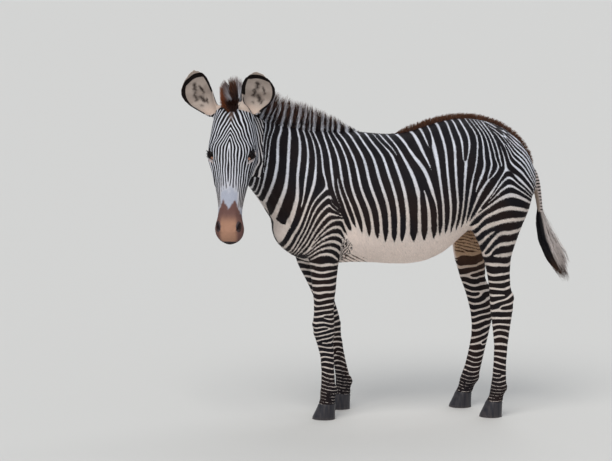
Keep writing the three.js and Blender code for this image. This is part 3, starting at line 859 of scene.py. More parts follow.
def face_turns(points):
    """Stripes counted outwards from the middle line of the face."""
    down, face, left = head_places(points)
    left = left + 0.006 * rise(down, 0.10, 0.30)
    front = looked_up(down, FRONT_PROFILE)
    round_side = np.hypot(left, 0.001) - 0.001 + 0.75 * np.maximum(front - face - 0.006, 0)
    corner = EYE_LEVEL - 0.030 + 0.25 * round_side
    above = 0.008 * np.logaddexp(0, (corner - down) / 0.008)
    below = 0.020 * np.logaddexp(0, (np.minimum(down, 0.46) - EYE_LEVEL - 0.035) / 0.020)
    outward = round_side + FACE_SPREAD * above + CHEEK_SLANT * below * rise(round_side, 0.03, 0.19)
    outward *= mix(1.0, 1.15, rise(down, 0.27, 0.42) * rise(round_side, 0.06, 0.03))
    beyond = np.maximum(outward - CHEEK_START, 0)
    outward -= CHEEK_WIDENING * beyond * rise(down, 0.28, 0.40)
    return turns_along(outward, FACE_PITCH, FACE_END)


def body_wave(points, side_sign):
    """The body's stripes at the points, which on the far side are those of the near one."""
    x, _, z = points.T
    far = rise(side_sign, 0.0, 1.0) * rise(z, 1.05, 0.90)
    shift = np.where(x < 0.1, 0.024, 0.060) * far
    bent = np.stack([x + shift, z], 1)
    bent += 0.0025 * np.stack([wobble(points, 0.20, 3), wobble(points, 0.20, 4)], 1)
    return STRIPE_MAP.at(bent)


# How the bands of each leg bend, as (height, rise from front to back, rise from the middle to the
# edges), in metres over half the leg.
BAND_BENDS = {
    ("fore", "left"): ((0.12, -0.005, 0.0), (0.22, -0.005, 0.002), (0.31, 0.003, -0.005),
                       (0.44, 0.008, 0.004), (0.55, 0.003, -0.003), (0.80, 0.005, 0.004)),
    ("fore", "right"): ((0.12, -0.006, 0.0), (0.25, -0.008, -0.010), (0.36, -0.005, -0.010),
                        (0.50, 0.008, 0.002), (0.80, 0.004, 0.0)),
    ("hind", "left"): ((0.12, 0.0, 0.004), (0.28, 0.0, -0.003), (0.42, 0.0, -0.014),
                       (0.52, 0.003, -0.012), (0.62, 0.010, 0.002), (0.85, 0.004, 0.002)),
    ("hind", "right"): ((0.12, 0.0, 0.008), (0.25, 0.002, 0.014), (0.36, 0.014, 0.004),
                        (0.50, 0.011, 0.003), (0.66, 0.014, 0.008), (0.88, 0.014, 0.010)),
}
REACH_STEP = 0.02
# Where a stripe of a leg ends: (height, place from front to back, 1 if the added stripe is in
# front of there or -1 if behind).
LEG_FORKS = {
    ("fore", "left"): ((0.535, -0.1, 1), (0.475, 0.3, -1), (0.400, -0.5, 1)),
    ("fore", "right"): ((0.420, 0.1, -1), (0.300, -0.3, 1)),
    ("hind", "left"): ((0.640, 0.2, -1), (0.575, -0.2, 1), (0.220, 0.1, -1)),
    ("hind", "right"): ((0.700, -0.2, 1), (0.610, 0.0, -1), (0.340, 0.3, 1)),
}
FORK_REACH = 0.05  # the half length of a leg, as a fork sees it


def fore_and_aft(points):
    """Each point's place from the front, -1, to the back, 1, of its part at its height."""
    x, y, z = points.T
    level = np.floor(z / REACH_STEP).astype(int)
    levels = level.max() + 1
    group = ((x > BETWEEN_LEGS_X) * 2 + (y > MIDLINE)) * levels + level
    front, rear = np.full(4 * levels, 9.0), np.full(4 * levels, -9.0)
    np.minimum.at(front, group, x)
    np.maximum.at(rear, group, x)
    return 2 * (x - front[group]) / np.maximum(rear[group] - front[group], 0.01) - 1


def leg_bend(z, place, own):
    """How far the bands of its own leg lie above or below level at each point."""
    bend = np.zeros(len(z))
    for leg, rows in BAND_BENDS.items():
        heights, rising, arching = np.array(rows).T
        bent = np.interp(z, heights, rising) * place + np.interp(z, heights, arching) * place**2
        bend = np.where(own[leg], bent, bend)
    return bend


def leg_wave(points, fore):
    z, right = points[:, 2], points[:, 1] > MIDLINE
    own = {
        (end, side): (fore == (end == "fore")) & (right == (side == "right"))
        for end, side in BAND_BENDS
    }
    place = fore_and_aft(points)
    height = z - leg_bend(z, place, own) + 0.0045 * wobble(points, 0.11, 5) * rise(z, 0.10, 0.30)
    turns = np.where(
        fore,
        leg_turns(height, FORELEG_PITCH, FORELEG_WHITE),
        leg_turns(height, HINDLEG_PITCH, HINDLEG_WHITE),
    )
    for leg, forks in LEG_FORKS.items():
        for level, spot, turn in forks:
            around = np.arctan2(turn * FORK_REACH * (place - spot), z - level) / (2 * math.pi)
            turns = turns + np.where(own[leg], around, 0)
    return wave_of(turns)


def stripe_wave(points):
    """1 along the middle of each white stripe and -1 along the middle of each black one."""
    side = np.sign(points[:, 1] - MIDLINE)
    fore = points[:, 0] < BETWEEN_LEGS_X
    legs = np.where(fore, rise(points[:, 2], 0.85, 0.80), rise(points[:, 2], 0.88, 0.82))
    legs *= rise(points[:, 0], 0.80, 0.76)
    head = rise(head_share(points), 0.44, 0.56)
    face = wave_of(face_turns(points) + 0.5 + 0.12 * wobble(points, 0.07, 7))
    wave = mix(body_wave(points, side), leg_wave(points, fore), legs)
    return one_long(mix(wave, face, head))


# ---- Colours --------------------------------------------------------------------------------


def srgb(red, green, blue):
    """A colour of 0 to 255 values, in linear light."""
    value = np.array([red, green, blue]) / 255
    return np.where(value > 0.04045, ((value + 0.055) / 1.055) ** 2.4, value / 12.92)


WHITE, CREAM = srgb(222, 224, 232), srgb(222, 210, 202)
BLACK, BROWN_BLACK = srgb(20, 18, 24), srgb(38, 25, 22)
# BELLY is the belly's cream, made brighter than the white stripes as painted bounce light from the ground.
BELLY, INNER_THIGH = srgb(244, 228, 218), srgb(196, 164, 134)
THIGH_LINE = srgb(84, 58, 42)
NOSE_WHITE, NOSE_BROWN, NOSE_TAN = srgb(184, 188, 202), srgb(116, 84, 78), srgb(182, 138, 114)
BROW_BROWN, FACE_GREY = srgb(104, 84, 76), srgb(96, 94, 104)
# NOSTRIL_DARK and LIP_DARK are dark skin round the nostrils and lips, used also as painted shade in the
# nostrils and the mouth's crease.
NOSTRIL_DARK, LIP_DARK, CHIN_BROWN = srgb(72, 56, 54), srgb(44, 30, 27), srgb(112, 88, 78)
LID_DARK, LID_PINK, EYE_CORNER = srgb(16, 12, 12), srgb(178, 158, 150), srgb(176, 128, 106)
EAR_INSIDE, EAR_FOLD, EAR_ROOT = srgb(190, 176, 166), srgb(44, 33, 29), srgb(214, 194, 180)
EAR_RIM, EAR_EDGE = srgb(26, 19, 18), srgb(206, 190, 178)
TASSEL_PALE = srgb(212, 202, 198)
TAIL_GREY, TAIL_TIP, HAIR_BROWN = srgb(160, 144, 132), srgb(104, 72, 54), srgb(120, 74, 50)
HAIR_GOLD, HAIR_ORANGE, FORELOCK_BROWN = srgb(156, 112, 76), srgb(190, 108, 64), srgb(52, 30, 24)

# Where the stripes end on the belly, as (x, z), and half the height over which they fade there.
BELLY_LINE = ((-0.26, 1.000), (-0.175, 1.000), (-0.085, 0.955), (0.035, 0.925), (0.165, 0.940),
              (0.270, 0.968), (0.350, 0.990), (0.440, 1.030))
BELLY_FADE = 0.055
# The white share of a stripe and its gap down the trunk, as (height, share).
TRUNK_WHITE = ((0.92, 0.42), (1.02, 0.33), (1.15, 0.28), (1.35, 0.25), (1.55, 0.24))
LEG_WHITE, HAUNCH_WHITE, CROUP_WHITE, FACE_WHITE = 0.31, 0.32, 0.42, 0.43
PASTERN_WHITE = 0.22
ELBOW_PIT = (-0.245, 0.885)
# Half the width of the white down the throat and chest, as (height, width).
THROAT_WHITE = ((0.86, 0.0), (0.90, 0.02), (0.95, 0.090), (0.995, 0.145), (1.025, 0.055), (1.04, 0.020),
                (1.06, 0.050), (1.10, 0.050), (1.13, 0.0))
DORSAL_HALF_WIDTH = 0.012
NOSTRIL_SHADE = [[1.7], [1.2], [1.0]]  # the shape of the dark round a nostril, along the head's axes
# The dark streaks inside an ear: the place across it, how far each sways, where its sway starts,
# and its width.
EAR_STREAKS = ((-0.20, 0.08, 0.0, 0.07), (0.02, 0.10, 2.0, 0.13), (0.24, 0.08, 4.0, 0.09))


class Markings:
    """The colours of the skin at its points: how far inside a white stripe, and both colours."""

    def __init__(self, points, normals):
        self.points, self.normals = points, normals
        self.x, self.y, self.z = (points - [SHIFT, 0, 0]).T
        self.side = np.sign(self.y - MIDLINE)
        self.head = rise(head_share(points), 0.35, 0.65)
        self.edge = stripe_wave(points).real - np.cos(math.pi * self.white_share())
        self.edge += 0.03 * wobble(points, 0.03, 8)
        low = rise(self.z, 1.30, 1.05)[:, None]
        self.light = mix(WHITE, CREAM, low) * (1 + 0.05 * wobble(points, 0.15, 9))[:, None]
        warm = (0.5 + 0.5 * wobble(points, 0.20, 10)).clip(0, 1)[:, None]
        self.dark = mix(BLACK, BROWN_BLACK, mix(0.35, 0.9, low) * warm)
        self.belly()
        self.throat()
        self.back()
        self.face()
        self.muzzle()
        self.eyes()
        for ear in EAR_SHAPES.values():
            self.ear(ear)
        self.tail()

    def white_share(self):
        share = looked_up(self.z, TRUNK_WHITE)
        haunch = rise(self.x, 0.42, 0.56) * rise(self.z, 1.30, 1.15)
        croup = rise(self.x - 0.62, 0.0, 0.08) * rise(self.z, 1.20, 1.30)
        share = mix(mix(share, HAUNCH_WHITE, haunch), CROUP_WHITE, croup)
        legs = rise(self.z, 0.95, 0.80)
        share = mix(share, mix(LEG_WHITE, PASTERN_WHITE, rise(self.z, 0.45, 0.10)), legs)
        down, _, left = head_places(self.points)
        face = mix(0.37, FACE_WHITE, rise(down, 0.20, 0.30) * rise(np.abs(left), 0.075, 0.050))
        return mix(share, face, self.head)

    def paint(self, colour, share, lift):
        """Brings the colour in by its share: as a light part with lift 1, as a dark one with -1."""
        share = np.clip(share, 0, 1)
        self.edge = mix(self.edge, lift, share)
        self.tint("light" if lift > 0 else "dark", colour, share)

    def tint(self, kind, colour, share):
        """Mixes the colour into the light or the dark one, and leaves the stripes as they are."""
        setattr(self, kind, mix(getattr(self, kind), colour, share[:, None]))

    def belly(self):
        line = looked_up(self.x, BELLY_LINE)
        ragged = line + 0.008 * wobble(self.points * [1, 0.3, 0.1], 0.03, 11)
        trunk = within(self.x, -0.24, -0.19, 0.41, 0.46) * rise(self.z, 0.74, 0.76)
        under = trunk * rise(self.z, ragged + BELLY_FADE, ragged - BELLY_FADE * 0.8)
        between = rise(-self.normals[:, 2], 0.45, 0.8) * rise(self.z, 0.84, 0.90) * (1 - self.head)
        self.edge += 2.2 * under
        pale = np.maximum(under, between * within(self.x, -0.50, -0.40, 0.4, 0.5))
        # The belly's cream, brightened as painted bounce light from the ground.
        self.tint("light", BELLY, pale)
        self.edge += 1.6 * (pale - under).clip(0, 1)
        inward = -self.normals[:, 1] * self.side
        inner = rise(inward, 0.25, 0.6) * within(self.z, 0.66, 0.84, 1.02, 1.12)
        inner = inner * (1 - self.head) * rise(np.abs(self.y - MIDLINE), 0.20, 0.15)
        inner *= rise(self.x, 0.15, 0.20)
        self.tint("light", INNER_THIGH, inner)
        self.tint("dark", THIGH_LINE, 0.8 * inner)
        ragged = 0.9 * wobble(self.points, 0.06, 22)
        lines = np.cos(2 * math.pi * (self.z + 0.20 * self.x) / 0.0165 + ragged)
        lined = within(self.z, 0.80, 0.83, 0.935, 0.955)
        self.edge = mix(self.edge, lines + mix(2.0, 0.35, lined), inner * rise(self.z, 0.81, 0.84))
        self.elbow()

    def elbow(self):
        """Fine curling lines in the pit behind the elbow, and short dashes under the breast."""
        x0, z0 = ELBOW_PIT
        away = np.hypot(self.x - x0, self.z - z0)
        curl = away / 0.0105 + 0.9 * wobble(self.points, 0.05, 19)
        pit = rise(self.x, -0.245, -0.235) * rise(away, 0.085, 0.060) * rise(self.z, 0.78, 0.80)
        self.edge = mix(self.edge, np.cos(2 * math.pi * curl) + 0.1, pit)
        dashes = np.cos(2 * math.pi * (self.x + 1.8 * self.z) / 0.034)
        low = rise(self.z + 0.25 * self.x, 0.825, 0.795) * rise(self.z, 0.775, 0.80)
        low *= within(self.x, -0.23, -0.20, -0.10, -0.04)
        self.paint(THIGH_LINE, low * rise(dashes, 0.3, 0.8), -1)
        line = rise(np.abs(self.y - MIDLINE), 0.016, 0.010) * rise(self.x, -0.2, -0.1)
        line *= rise(self.x, 0.16, 0.08) * rise(-self.normals[:, 2], 0.6, 0.8) * rise(self.z, 0.9, 0.86)
        self.paint(THIGH_LINE, 0.8 * line, -1)

    def throat(self):
        """Black bands stop short of the throat and chest, which have a thin line down the middle."""
        front = rise(-self.normals[:, 0], 0.40, 0.70) * rise(self.x, -0.38, -0.43) * (1 - self.head)
        across = np.abs(self.y - MIDLINE) + 0.006 * wobble(self.points, 0.10, 17)
        wide = looked_up(self.z, THROAT_WHITE)
        self.edge += 1.8 * front * rise(across, wide + 0.016, wide - 0.010) * (wide > 0)
        line = rise(across, 0.030, 0.024) * within(self.z, 0.86, 0.92, 1.04, 1.10)
        self.paint(BLACK, front * line, -1)

    def back(self):
        across = np.abs(self.y - MIDLINE)
        along = rise(self.x, -0.36, -0.28) * rise(self.z, 1.28, 1.33)
        croup = rise(self.x, 0.30, 0.50)
        half = DORSAL_HALF_WIDTH * mix(0.8, 1.2, croup)
        self.paint(WHITE, along * croup * rise(across, half + 0.014, half + 0.009), 1)
        self.paint(BROWN_BLACK, along * rise(across, half + 0.003, half - 0.002), -1)

    def face(self):
        down, face, left = head_places(self.points)
        left = np.abs(left)
        brow = rise(left, 0.018, 0.004) * within(down, 0.012, 0.03, 0.06, 0.110)
        brow *= self.head * rise(face, 0.03, 0.05)
        self.tint("dark", BROW_BROWN, 0.8 * brow)
        self.tint("light", BROW_BROWN, 0.8 * brow)
        faded = self.head * rise(down, 0.29, 0.42) * rise(left, 0.060, 0.040) * rise(face, -0.02, 0.02)
        self.tint("dark", FACE_GREY, 0.75 * faded)
        under = self.head * rise(-face, 0.06, 0.10)
        # Some of the belly's cream under the head, with its painted bounce light.
        self.tint("light", BELLY, 0.4 * under)

    def muzzle(self):
        down, face, left = head_places(self.points)
        across = np.abs(left)
        on_front = rise(face, 0.0, 0.035)
        ragged = down + 0.012 * wobble(self.points, 0.03, 20)
        patch = rise(ragged, 0.385, 0.455) * rise(across, 0.052, 0.036) * on_front
        sides = rise(down, 0.485, 0.545)
        self.paint(NOSE_WHITE, self.head * np.maximum(patch, sides), 1)
        start = np.where(across < 0.030, 0.526 - 1.5 * across, 0.481 + 2.4 * (across - 0.030))
        start = mix(0.50, start, rise(face, -0.03, 0.01)) + 0.20 * np.maximum(0.03 - face, 0)
        start += 0.004 * wobble(self.points, 0.02, 12)
        brown = self.head * rise(down, start - 0.012, start + 0.012)
        self.tint("light", NOSE_BROWN, brown)
        tan = brown * rise(down, 0.545, 0.605) * rise(across, 0.052, 0.030) * rise(face, 0.0, 0.03)
        self.tint("light", NOSE_TAN, 0.95 * tan)
        chin = self.head * rise(down, 0.50, 0.60) * rise(face, 0.0, -0.03)
        self.tint("light", CHIN_BROWN, chin)
        self.nostrils(np.stack([down, face, across]))
        self.lips(np.stack([down, face, across]))

    def nostrils(self, here):
        """Dark skin and painted shade round the nostrils, and painted shade inside them. `here` is each
        point's place on the head.
        """
        hole = np.array([[NOSTRIL["down"]], [NOSTRIL["face"]], [NOSTRIL["left"]]])
        near = np.linalg.norm((here - hole) / NOSTRIL_SHADE, axis=0)
        self.paint(NOSTRIL_DARK, 0.75 * self.head * rise(near, 0.026, 0.010), -1)
        # Painted shade inside each nostril's hole.
        self.tint("dark", LIP_DARK, self.head * rise(near, 0.011, 0.008))

    def lips(self, here):
        """Dark along the gap between the lips and at the end of the upper one: the lips' own dark skin with
        painted shade in the mouth's crease and under the upper lip.
        """
        gap = np.full(len(self.points), 1.0)
        for place in curve_through(MOUTH, 40):
            gap = np.minimum(gap, np.linalg.norm(here - place[:, None], axis=0))
        end = rise(here[0], 0.680, 0.688) * rise(here[1], 0.040, 0.030)
        self.paint(LIP_DARK, self.head * np.maximum(rise(gap, 0.016, 0.008), 0.9 * end), -1)

    def eyes(self):
        for eye in EYE_FRAMES.values():
            u, v, front = eye.places(self.points)
            near = rise(front, -0.01, 0.0) * rise(np.hypot(u, v), 0.055, 0.050)
            ring = eye.opening(u, v)
            below = rise(-v, 0.006, 0.012) * rise(ring, 7.0, 4.0)
            self.paint(LID_PINK, 0.75 * near * below, 1)
            inner = rise(-u, 0.0, 0.012)
            self.paint(LID_DARK, near * rise(ring, mix(2.8, 2.3, inner), mix(2.1, 1.8, inner)), -1)
            corner = near * rise(np.hypot(u + 0.0250, 1.2 * v + 0.001), 0.0095, 0.0065)
            self.paint(EYE_CORNER, corner, 1)

    def ear(self, ear):
        t, across = ear.places(self.points)
        away = self.points - ear.middle(np.clip(t, 0, 1))
        depth, sideways = away @ ear.open, away @ ear.across / ear.half_width(t)
        on = rise(t, 0.03, 0.08) * rise(across, 1.45, 1.25) * rise(np.abs(depth), 0.11, 0.09)
        inside = rise(self.normals @ ear.open, 0.0, 0.35)
        self.paint(EAR_INSIDE, on * inside, 1)
        root = on * inside * rise(t, 0.34, 0.12)
        self.tint("light", EAR_ROOT, root)
        self.ear_streaks(t, sideways, on * inside)
        inner_edge = rise(-away @ ear.out, -0.01, 0.01)
        rim = np.maximum(rise(across, 0.71, 0.79), rise(t + 0.10 * across**2, 0.83, 0.87))
        start = mix(0.05, 0.40, inner_edge)
        self.paint(EAR_RIM, on * rim * rise(t, start, start + 0.10) * inside, -1)
        back = on * (1 - inside)
        self.paint(BLACK, back * rise(t, 0.08, 0.14), -1)
        patch = within(t, 0.28, 0.36, 0.50, 0.56) * rise(across, 0.75, 0.60)
        self.paint(WHITE, back * patch, 1)
        tip = rise(t + 0.05 * across**2, 0.915, 0.935)
        edge = rise(across, 1.00, 1.06) * rise(t, 0.1, 0.2)
        self.paint(EAR_EDGE, on * np.maximum(tip, 0.8 * edge), 1)

    def ear_streaks(self, t, sideways, inside):
        """Dark streaks down the inside of an ear, which break off in places."""
        ragged = 0.04 * wobble(self.points, 0.018, 18)
        for start, sway, phase, width in EAR_STREAKS:
            gap = (sideways - start - sway * np.sin(9 * t + phase) - ragged) / width
            streak = np.exp(-(gap**2)) * within(t, 0.26, 0.36, 0.74, 0.82)
            streak *= rise(np.sin(23 * t + 2 * phase), -1.1, 0.3)
            self.tint("light", EAR_FOLD, 0.95 * inside * streak)

    def tail(self):
        on = rise(self.x, 0.758, 0.772) * rise(self.z, 1.30, 1.24)
        on *= rise(np.abs(self.y - MIDLINE), 0.048, 0.040)
        self.paint(TAIL_GREY, on, 1)
        bars = np.sin(2 * math.pi * self.z / 0.017 + 1.5 * self.side)
        outer = on * rise(self.normals[:, 0], -0.30, 0.10) * rise(self.z, 1.02, 1.06)
        self.tint("light", TASSEL_PALE, 0.7 * outer)
        self.paint(BROWN_BLACK, 0.9 * outer * rise(bars, -0.1, 0.5), -1)
        front = rise(self.normals[:, 0], 0.15, -0.35)
        self.paint(BLACK, on * front * rise(self.z, 1.10, 1.00), -1)
        self.tint("light", TASSEL_PALE, on * rise(self.z, 1.10, 0.98))


EDGE_SOFT = 0.20  # half the range of `edge` over which black turns to white


def whiteness(edge):
    """The share of white at each value of `edge`, as a column."""
    return rise(edge, -EDGE_SOFT, EDGE_SOFT)[:, None]


# ---- The flat map of the colours --------------------------------------------------------------


FIRST_EAR = 7  # the first ear's number among the parts
CHART_MARGIN = 0.006


def body_part(points):
    """A number for the part of the body at each point, so that no two parts hide each other."""
    x, y, z = points.T
    right = y > MIDLINE
    part = np.where(z < 0.86, np.where(x < BETWEEN_LEGS_X, 1, 3) + right, 0)
    part = np.where(head_share(points) > 0.5, 5, part)
    part = np.where((x > 0.775) & (z < 1.30), 6, part)
    for number, ear in enumerate(EAR_SHAPES.values(), FIRST_EAR):
        t, across = ear.places(points)
        depth = (points - ear.middle(np.clip(t, 0, 1))) @ ear.open
        part = np.where((t > 0.03) & (across < 1.6) & (np.abs(depth) < 0.1), number, part)
    return part


def unwrapped(skin):
    """Places from 0 to 1 for each corner of each triangle: every part as seen along each axis."""
    corners = skin.points[skin.triangles]
    smooth = skin.soften(skin.normals(), 5)[skin.triangles].mean(1)
    axis = np.abs(smooth).argmax(1)
    ahead = np.take_along_axis(smooth, axis[:, None], 1)[:, 0] > 0
    chart = (body_part(corners.mean(1)) * 3 + axis) * 2 + ahead
    flat = np.stack([corners[np.arange(len(axis)), :, (axis + k) % 3] for k in (1, 2)], -1)
    return packed(flat, chart)


def packed(flat, chart):
    """Lays the charts side by side in rows, and brings the whole to the range 0 to 1."""
    boxes = []
    for number in np.unique(chart):
        own = flat[chart == number].reshape(-1, 2)
        boxes.append((number, own.min(0) - CHART_MARGIN, np.ptp(own, axis=0) + 2 * CHART_MARGIN))
    boxes.sort(key=lambda box: -box[2][1])
    row_width = 1.12 * math.sqrt(sum(size[0] * size[1] for _, _, size in boxes))
    at = np.zeros(2)
    row_height = 0.0
    for number, low, size in boxes:
        if at[0] > 0 and at[0] + size[0] > row_width:
            at = np.array([0.0, at[1] + row_height])
            row_height = 0.0
        flat[chart == number] += at - low
        row_height = max(row_height, size[1])
        at = at + [size[0], 0]
    return flat / max(flat[..., 0].max(), flat[..., 1].max())


# ---- Hair -----------------------------------------------------------------------------------

PATCH = 0.003  # the width on the flat map of one tuft


class Hairs:
    """Thin tapering blades from roots to tips, bowed by `bends`, each with its `across` direction."""

    def __init__(self, roots, tips, bends, widths, across, levels):
        t = np.array(levels)
        count, steps = len(roots), len(levels)
        path = roots[:, None] + (tips - roots)[:, None] * t[:, None]
        path = path + bends[:, None] * (4 * t * (1 - t))[:, None]
        half = 0.5 * widths[:, None, None] * (1 - 0.45 * t[:, None]) * across[:, None]
        pairs = np.stack([path - half, path + half], 2)[:, :-1].reshape(count, -1, 3)
        self.corners = 2 * steps - 1
        self.points = np.concatenate([pairs, path[:, -1:]], 1).reshape(-1, 3)
        self.height = np.tile(np.append(np.repeat(t[:-1], 2), 1.0), count)
        side = np.append(np.tile([-1.0, 1.0], steps - 1), 0.0)
        self.patch = np.stack([np.tile(side, count), 2 * self.height - 1], 1) * PATCH / 2
        rungs = [(2 * j, 2 * j + 1, 2 * j + 3, 2 * j + 2) for j in range(steps - 2)]
        faces = [(a, b, c) for a, b, c, _ in rungs] + [(a, c, d) for a, _, c, d in rungs]
        faces.append((2 * steps - 4, 2 * steps - 3, 2 * steps - 2))
        starts = np.arange(count)[:, None, None] * self.corners
        self.faces = (np.array(faces) + starts).reshape(-1, 3)

    def spread(self, values):
        """One value for each hair, repeated at its points."""
        return np.repeat(values, self.corners, axis=0)

    def shaded(self, base, tip, start, strength=1.0):
        """Colours that turn from each hair's base to its tip, from the height `start` on."""
        share = strength * rise(self.height, start, 1.0)[:, None]
        return mix(self.spread(base), self.spread(tip), share)

    def piece(self, name, colours, root_places, material, slot, *nodes):
        thing = new_object(name, self.points, self.faces)
        add_colour(thing, "colour", colours)
        places = np.clip(self.spread(root_places) + self.patch, 0, 1)
        add_uv(thing, places[self.faces])
        return finished(thing, material, slot, *nodes)


def tones(count, spread, most):
    """A random brightness for each hair, at most that far from 1."""
    return RNG.normal(1.0, spread, (count, 1)).clip(1 - most, 1 + most)


def finished(thing, material, slot, *nodes):
    """Gives the piece its material, and places it in the frame instead of the nodes."""
    thing.data.materials.append(material)
    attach(thing, "root")
    if nodes:
        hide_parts(*nodes)
    return thing


def lie_of_hair(points, normals):
    """The way the fur lies along the skin at each point."""
    x, _, z = points.T
    neck = rise(x, -0.30, -0.60)[:, None]
    legs = rise(z, 1.00, 0.80)[:, None]
    way = mix(np.array([0.6, 0, -0.8]), np.array([0.4, 0, -0.9]), neck)
    way = mix(way, np.array([0.12, 0, -1.0]), legs)
    way = mix(way, DOWN, rise(head_share(points), 0.3, 0.7)[:, None])
    for ear in EAR_SHAPES.values():
        t, across = ear.places(points)
        on = rise(t, 0.05, 0.15) * rise(across, 1.6, 1.4)
        way = mix(way, ear.up, on[:, None])
    way = way - normals * np.sum(way * normals, 1, keepdims=True)
    return unit(way)


def blend_corners(shares, corners):
    """The mean of three corners' values, weighted by their shares."""
    return np.einsum("nk,nk...->n...", shares, corners)


class Skin:
    """The finished skin: its surface inside the coat, its colours and its flat map."""

    def __init__(self):
        surface = sculpted_skin()
        normals = surface.normals()
        self.surface = surface
        self.marks = Markings(surface.points, normals)
        self.places = unwrapped(surface)
        self.depth = coat_depth(surface.points)
        surface.points = surface.points - normals * self.depth[:, None]
        middles = surface.points[surface.triangles].mean(1)
        self.earless = np.flatnonzero(body_part(middles) < FIRST_EAR)
        self.tree = BVHTree.FromPolygons(
            surface.points.tolist(), surface.triangles[self.earless].tolist()
        )
        a, b, c = surface.points[surface.triangles].transpose(1, 0, 2)
        across = np.cross(b - a, c - a)
        self.area = np.linalg.norm(across, axis=1) / 2
        self.facing = unit(across)

    def roots(self, weight, count):
        """Random places on the skin, weighted by triangle: the triangle and its corner shares."""
        chance = np.cumsum(self.area * weight)
        picked = np.searchsorted(chance / chance[-1], RNG.random(count))
        shares = np.sort(RNG.random((count, 2)), axis=1)
        shares = np.stack([shares[:, 0], 1 - shares[:, 1], shares[:, 1] - shares[:, 0]], 1)
        return picked, shares

    def at(self, picked, shares, values):
        """Values of the vertices at such places."""
        return blend_corners(shares, values[self.surface.triangles[picked]])

    def colour_at(self, picked, shares):
        """The one colour that shows at such places."""
        dark, light = (self.at(picked, shares, v) for v in (self.marks.dark, self.marks.light))
        edge = self.at(picked, shares, self.marks.edge)
        return mix(dark, light, whiteness(edge))

    def nearest(self, points):
        """The triangle nearest to each point, and the nearest place on it, the ears left out."""
        picked, places = [], []
        for point in points:
            place, _, triangle, _ = self.tree.find_nearest(point)
            picked.append(triangle)
            places.append(place)
        return self.earless[picked], np.array(places)


# ---- Materials ------------------------------------------------------------------------------


def new_material(name, roughness, specular):
    """A plain surface, its node tree and its shader, for the functions below to build on."""
    material = bpy.data.materials.new(name)
    material.use_nodes = True
    nodes = material.node_tree.nodes
    shader = nodes["Principled BSDF"]
    shader.inputs["Roughness"].default_value = roughness
    shader.inputs["Specular IOR Level"].default_value = specular
    return material, nodes, material.node_tree.links, shader


def attribute(nodes, name, output):
    node = nodes.new("ShaderNodeAttribute")
    node.attribute_name = name
    return node.outputs[output]


def add_bump(nodes, links, shader, scale, stretch, distance):
    """Fine relief, drawn out down the animal, which gives short fur its grain."""
    place = nodes.new("ShaderNodeTexCoord")
    squeeze = nodes.new("ShaderNodeMapping")
    squeeze.inputs["Scale"].default_value = stretch
    noise = nodes.new("ShaderNodeTexNoise")
    noise.inputs["Scale"].default_value = scale
    noise.inputs["Detail"].default_value = 3
    bump = nodes.new("ShaderNodeBump")
    bump.inputs["Distance"].default_value = distance
    bump.inputs["Strength"].default_value = 0.6
    links.new(place.outputs["Object"], squeeze.inputs["Vector"])
    links.new(squeeze.outputs["Vector"], noise.inputs["Vector"])
    links.new(noise.outputs["Fac"], bump.inputs["Height"])
    links.new(bump.outputs["Normal"], shader.inputs["Normal"])


MIX_A, MIX_B, MIX_RESULT = 6, 7, 2  # the colour sockets of a Mix node


def skin_material():
    """Black and white that meet sharply where the attribute `edge` is zero."""
    material, nodes, links, shader = new_material("skin", 0.62, 0.14)
    ramp = nodes.new("ShaderNodeMapRange")
    ramp.interpolation_type = "SMOOTHSTEP"
    ramp.inputs["From Min"].default_value = -EDGE_SOFT
    ramp.inputs["From Max"].default_value = EDGE_SOFT
    blend = nodes.new("ShaderNodeMix")
    blend.data_type = "RGBA"
    links.new(attribute(nodes, "edge", "Fac"), ramp.inputs["Value"])
    links.new(ramp.outputs["Result"], blend.inputs["Factor"])
    links.new(attribute(nodes, "dark", "Color"), blend.inputs[MIX_A])
    links.new(attribute(nodes, "light", "Color"), blend.inputs[MIX_B])
    links.new(blend.outputs[MIX_RESULT], shader.inputs["Base Color"])
    add_bump(nodes, links, shader, 420, (1, 1, 0.35), 0.0012)
    return material


def coloured_material(name, roughness, specular):
    """A surface whose colour is the attribute `colour`."""
    material, nodes, links, shader = new_material(name, roughness, specular)
    links.new(attribute(nodes, "colour", "Color"), shader.inputs["Base Color"])
    return material


FUR = coloured_material("fur", 0.60, 0.14)
LONG_HAIR = coloured_material("long_hair", 0.50, 0.30)
EYE = coloured_material("eye", 0.07, 0.12)
HOOF = coloured_material("hoof", 0.42, 0.40)

# ---- Skin and coat --------------------------------------------------------------------------

COAT_PIECES = 5
COAT_TUFTS = 46_000  # in each piece
TUFT_LEVELS = (0.0, 0.5, 1.0)
TUFT_SINK = 0.0008  # how far under the skin a tuft starts
FINE_SHARE = 2.2  # how much closer together the tufts of the face, legs and ears are


def make_skin(skin):
    thing = new_object("skin", skin.surface.points, skin.surface.triangles)
    add_value(thing, "edge", skin.marks.edge)
    add_colour(thing, "light", skin.marks.light)
    add_colour(thing, "dark", skin.marks.dark)
    add_uv(thing, skin.places)
    ears = [f"ear_{side}" for side in SIDES]
    finished(thing, skin_material(), "coat", *FLESH, *ears)


def tufts(skin, picked, shares, length):
    """Blades that leave the skin at a low angle and end within the coat's depth."""
    place = skin.at(picked, shares, skin.surface.points)
    normal = skin.facing[picked]
    depth = skin.at(picked, shares, skin.depth)[:, None]
    long = (skin.at(picked, shares, length) * RNG.uniform(0.75, 1.25, COAT_TUFTS))[:, None]
    way = lie_of_hair(place, normal)
    way = unit(way + np.cross(way, normal) * RNG.normal(0, 0.16, (COAT_TUFTS, 1)))
    lift = depth * RNG.uniform(0.45, 0.95, (COAT_TUFTS, 1))
    root = place - normal * TUFT_SINK - way * long * 0.45
    tip = root + way * long + normal * (lift + TUFT_SINK)
    widths = np.clip(long[:, 0] * 0.20, 0.0012, 0.0026)
    across = unit(np.cross(way, normal))
    return Hairs(root, tip, normal * depth * 0.30, widths, across, TUFT_LEVELS)


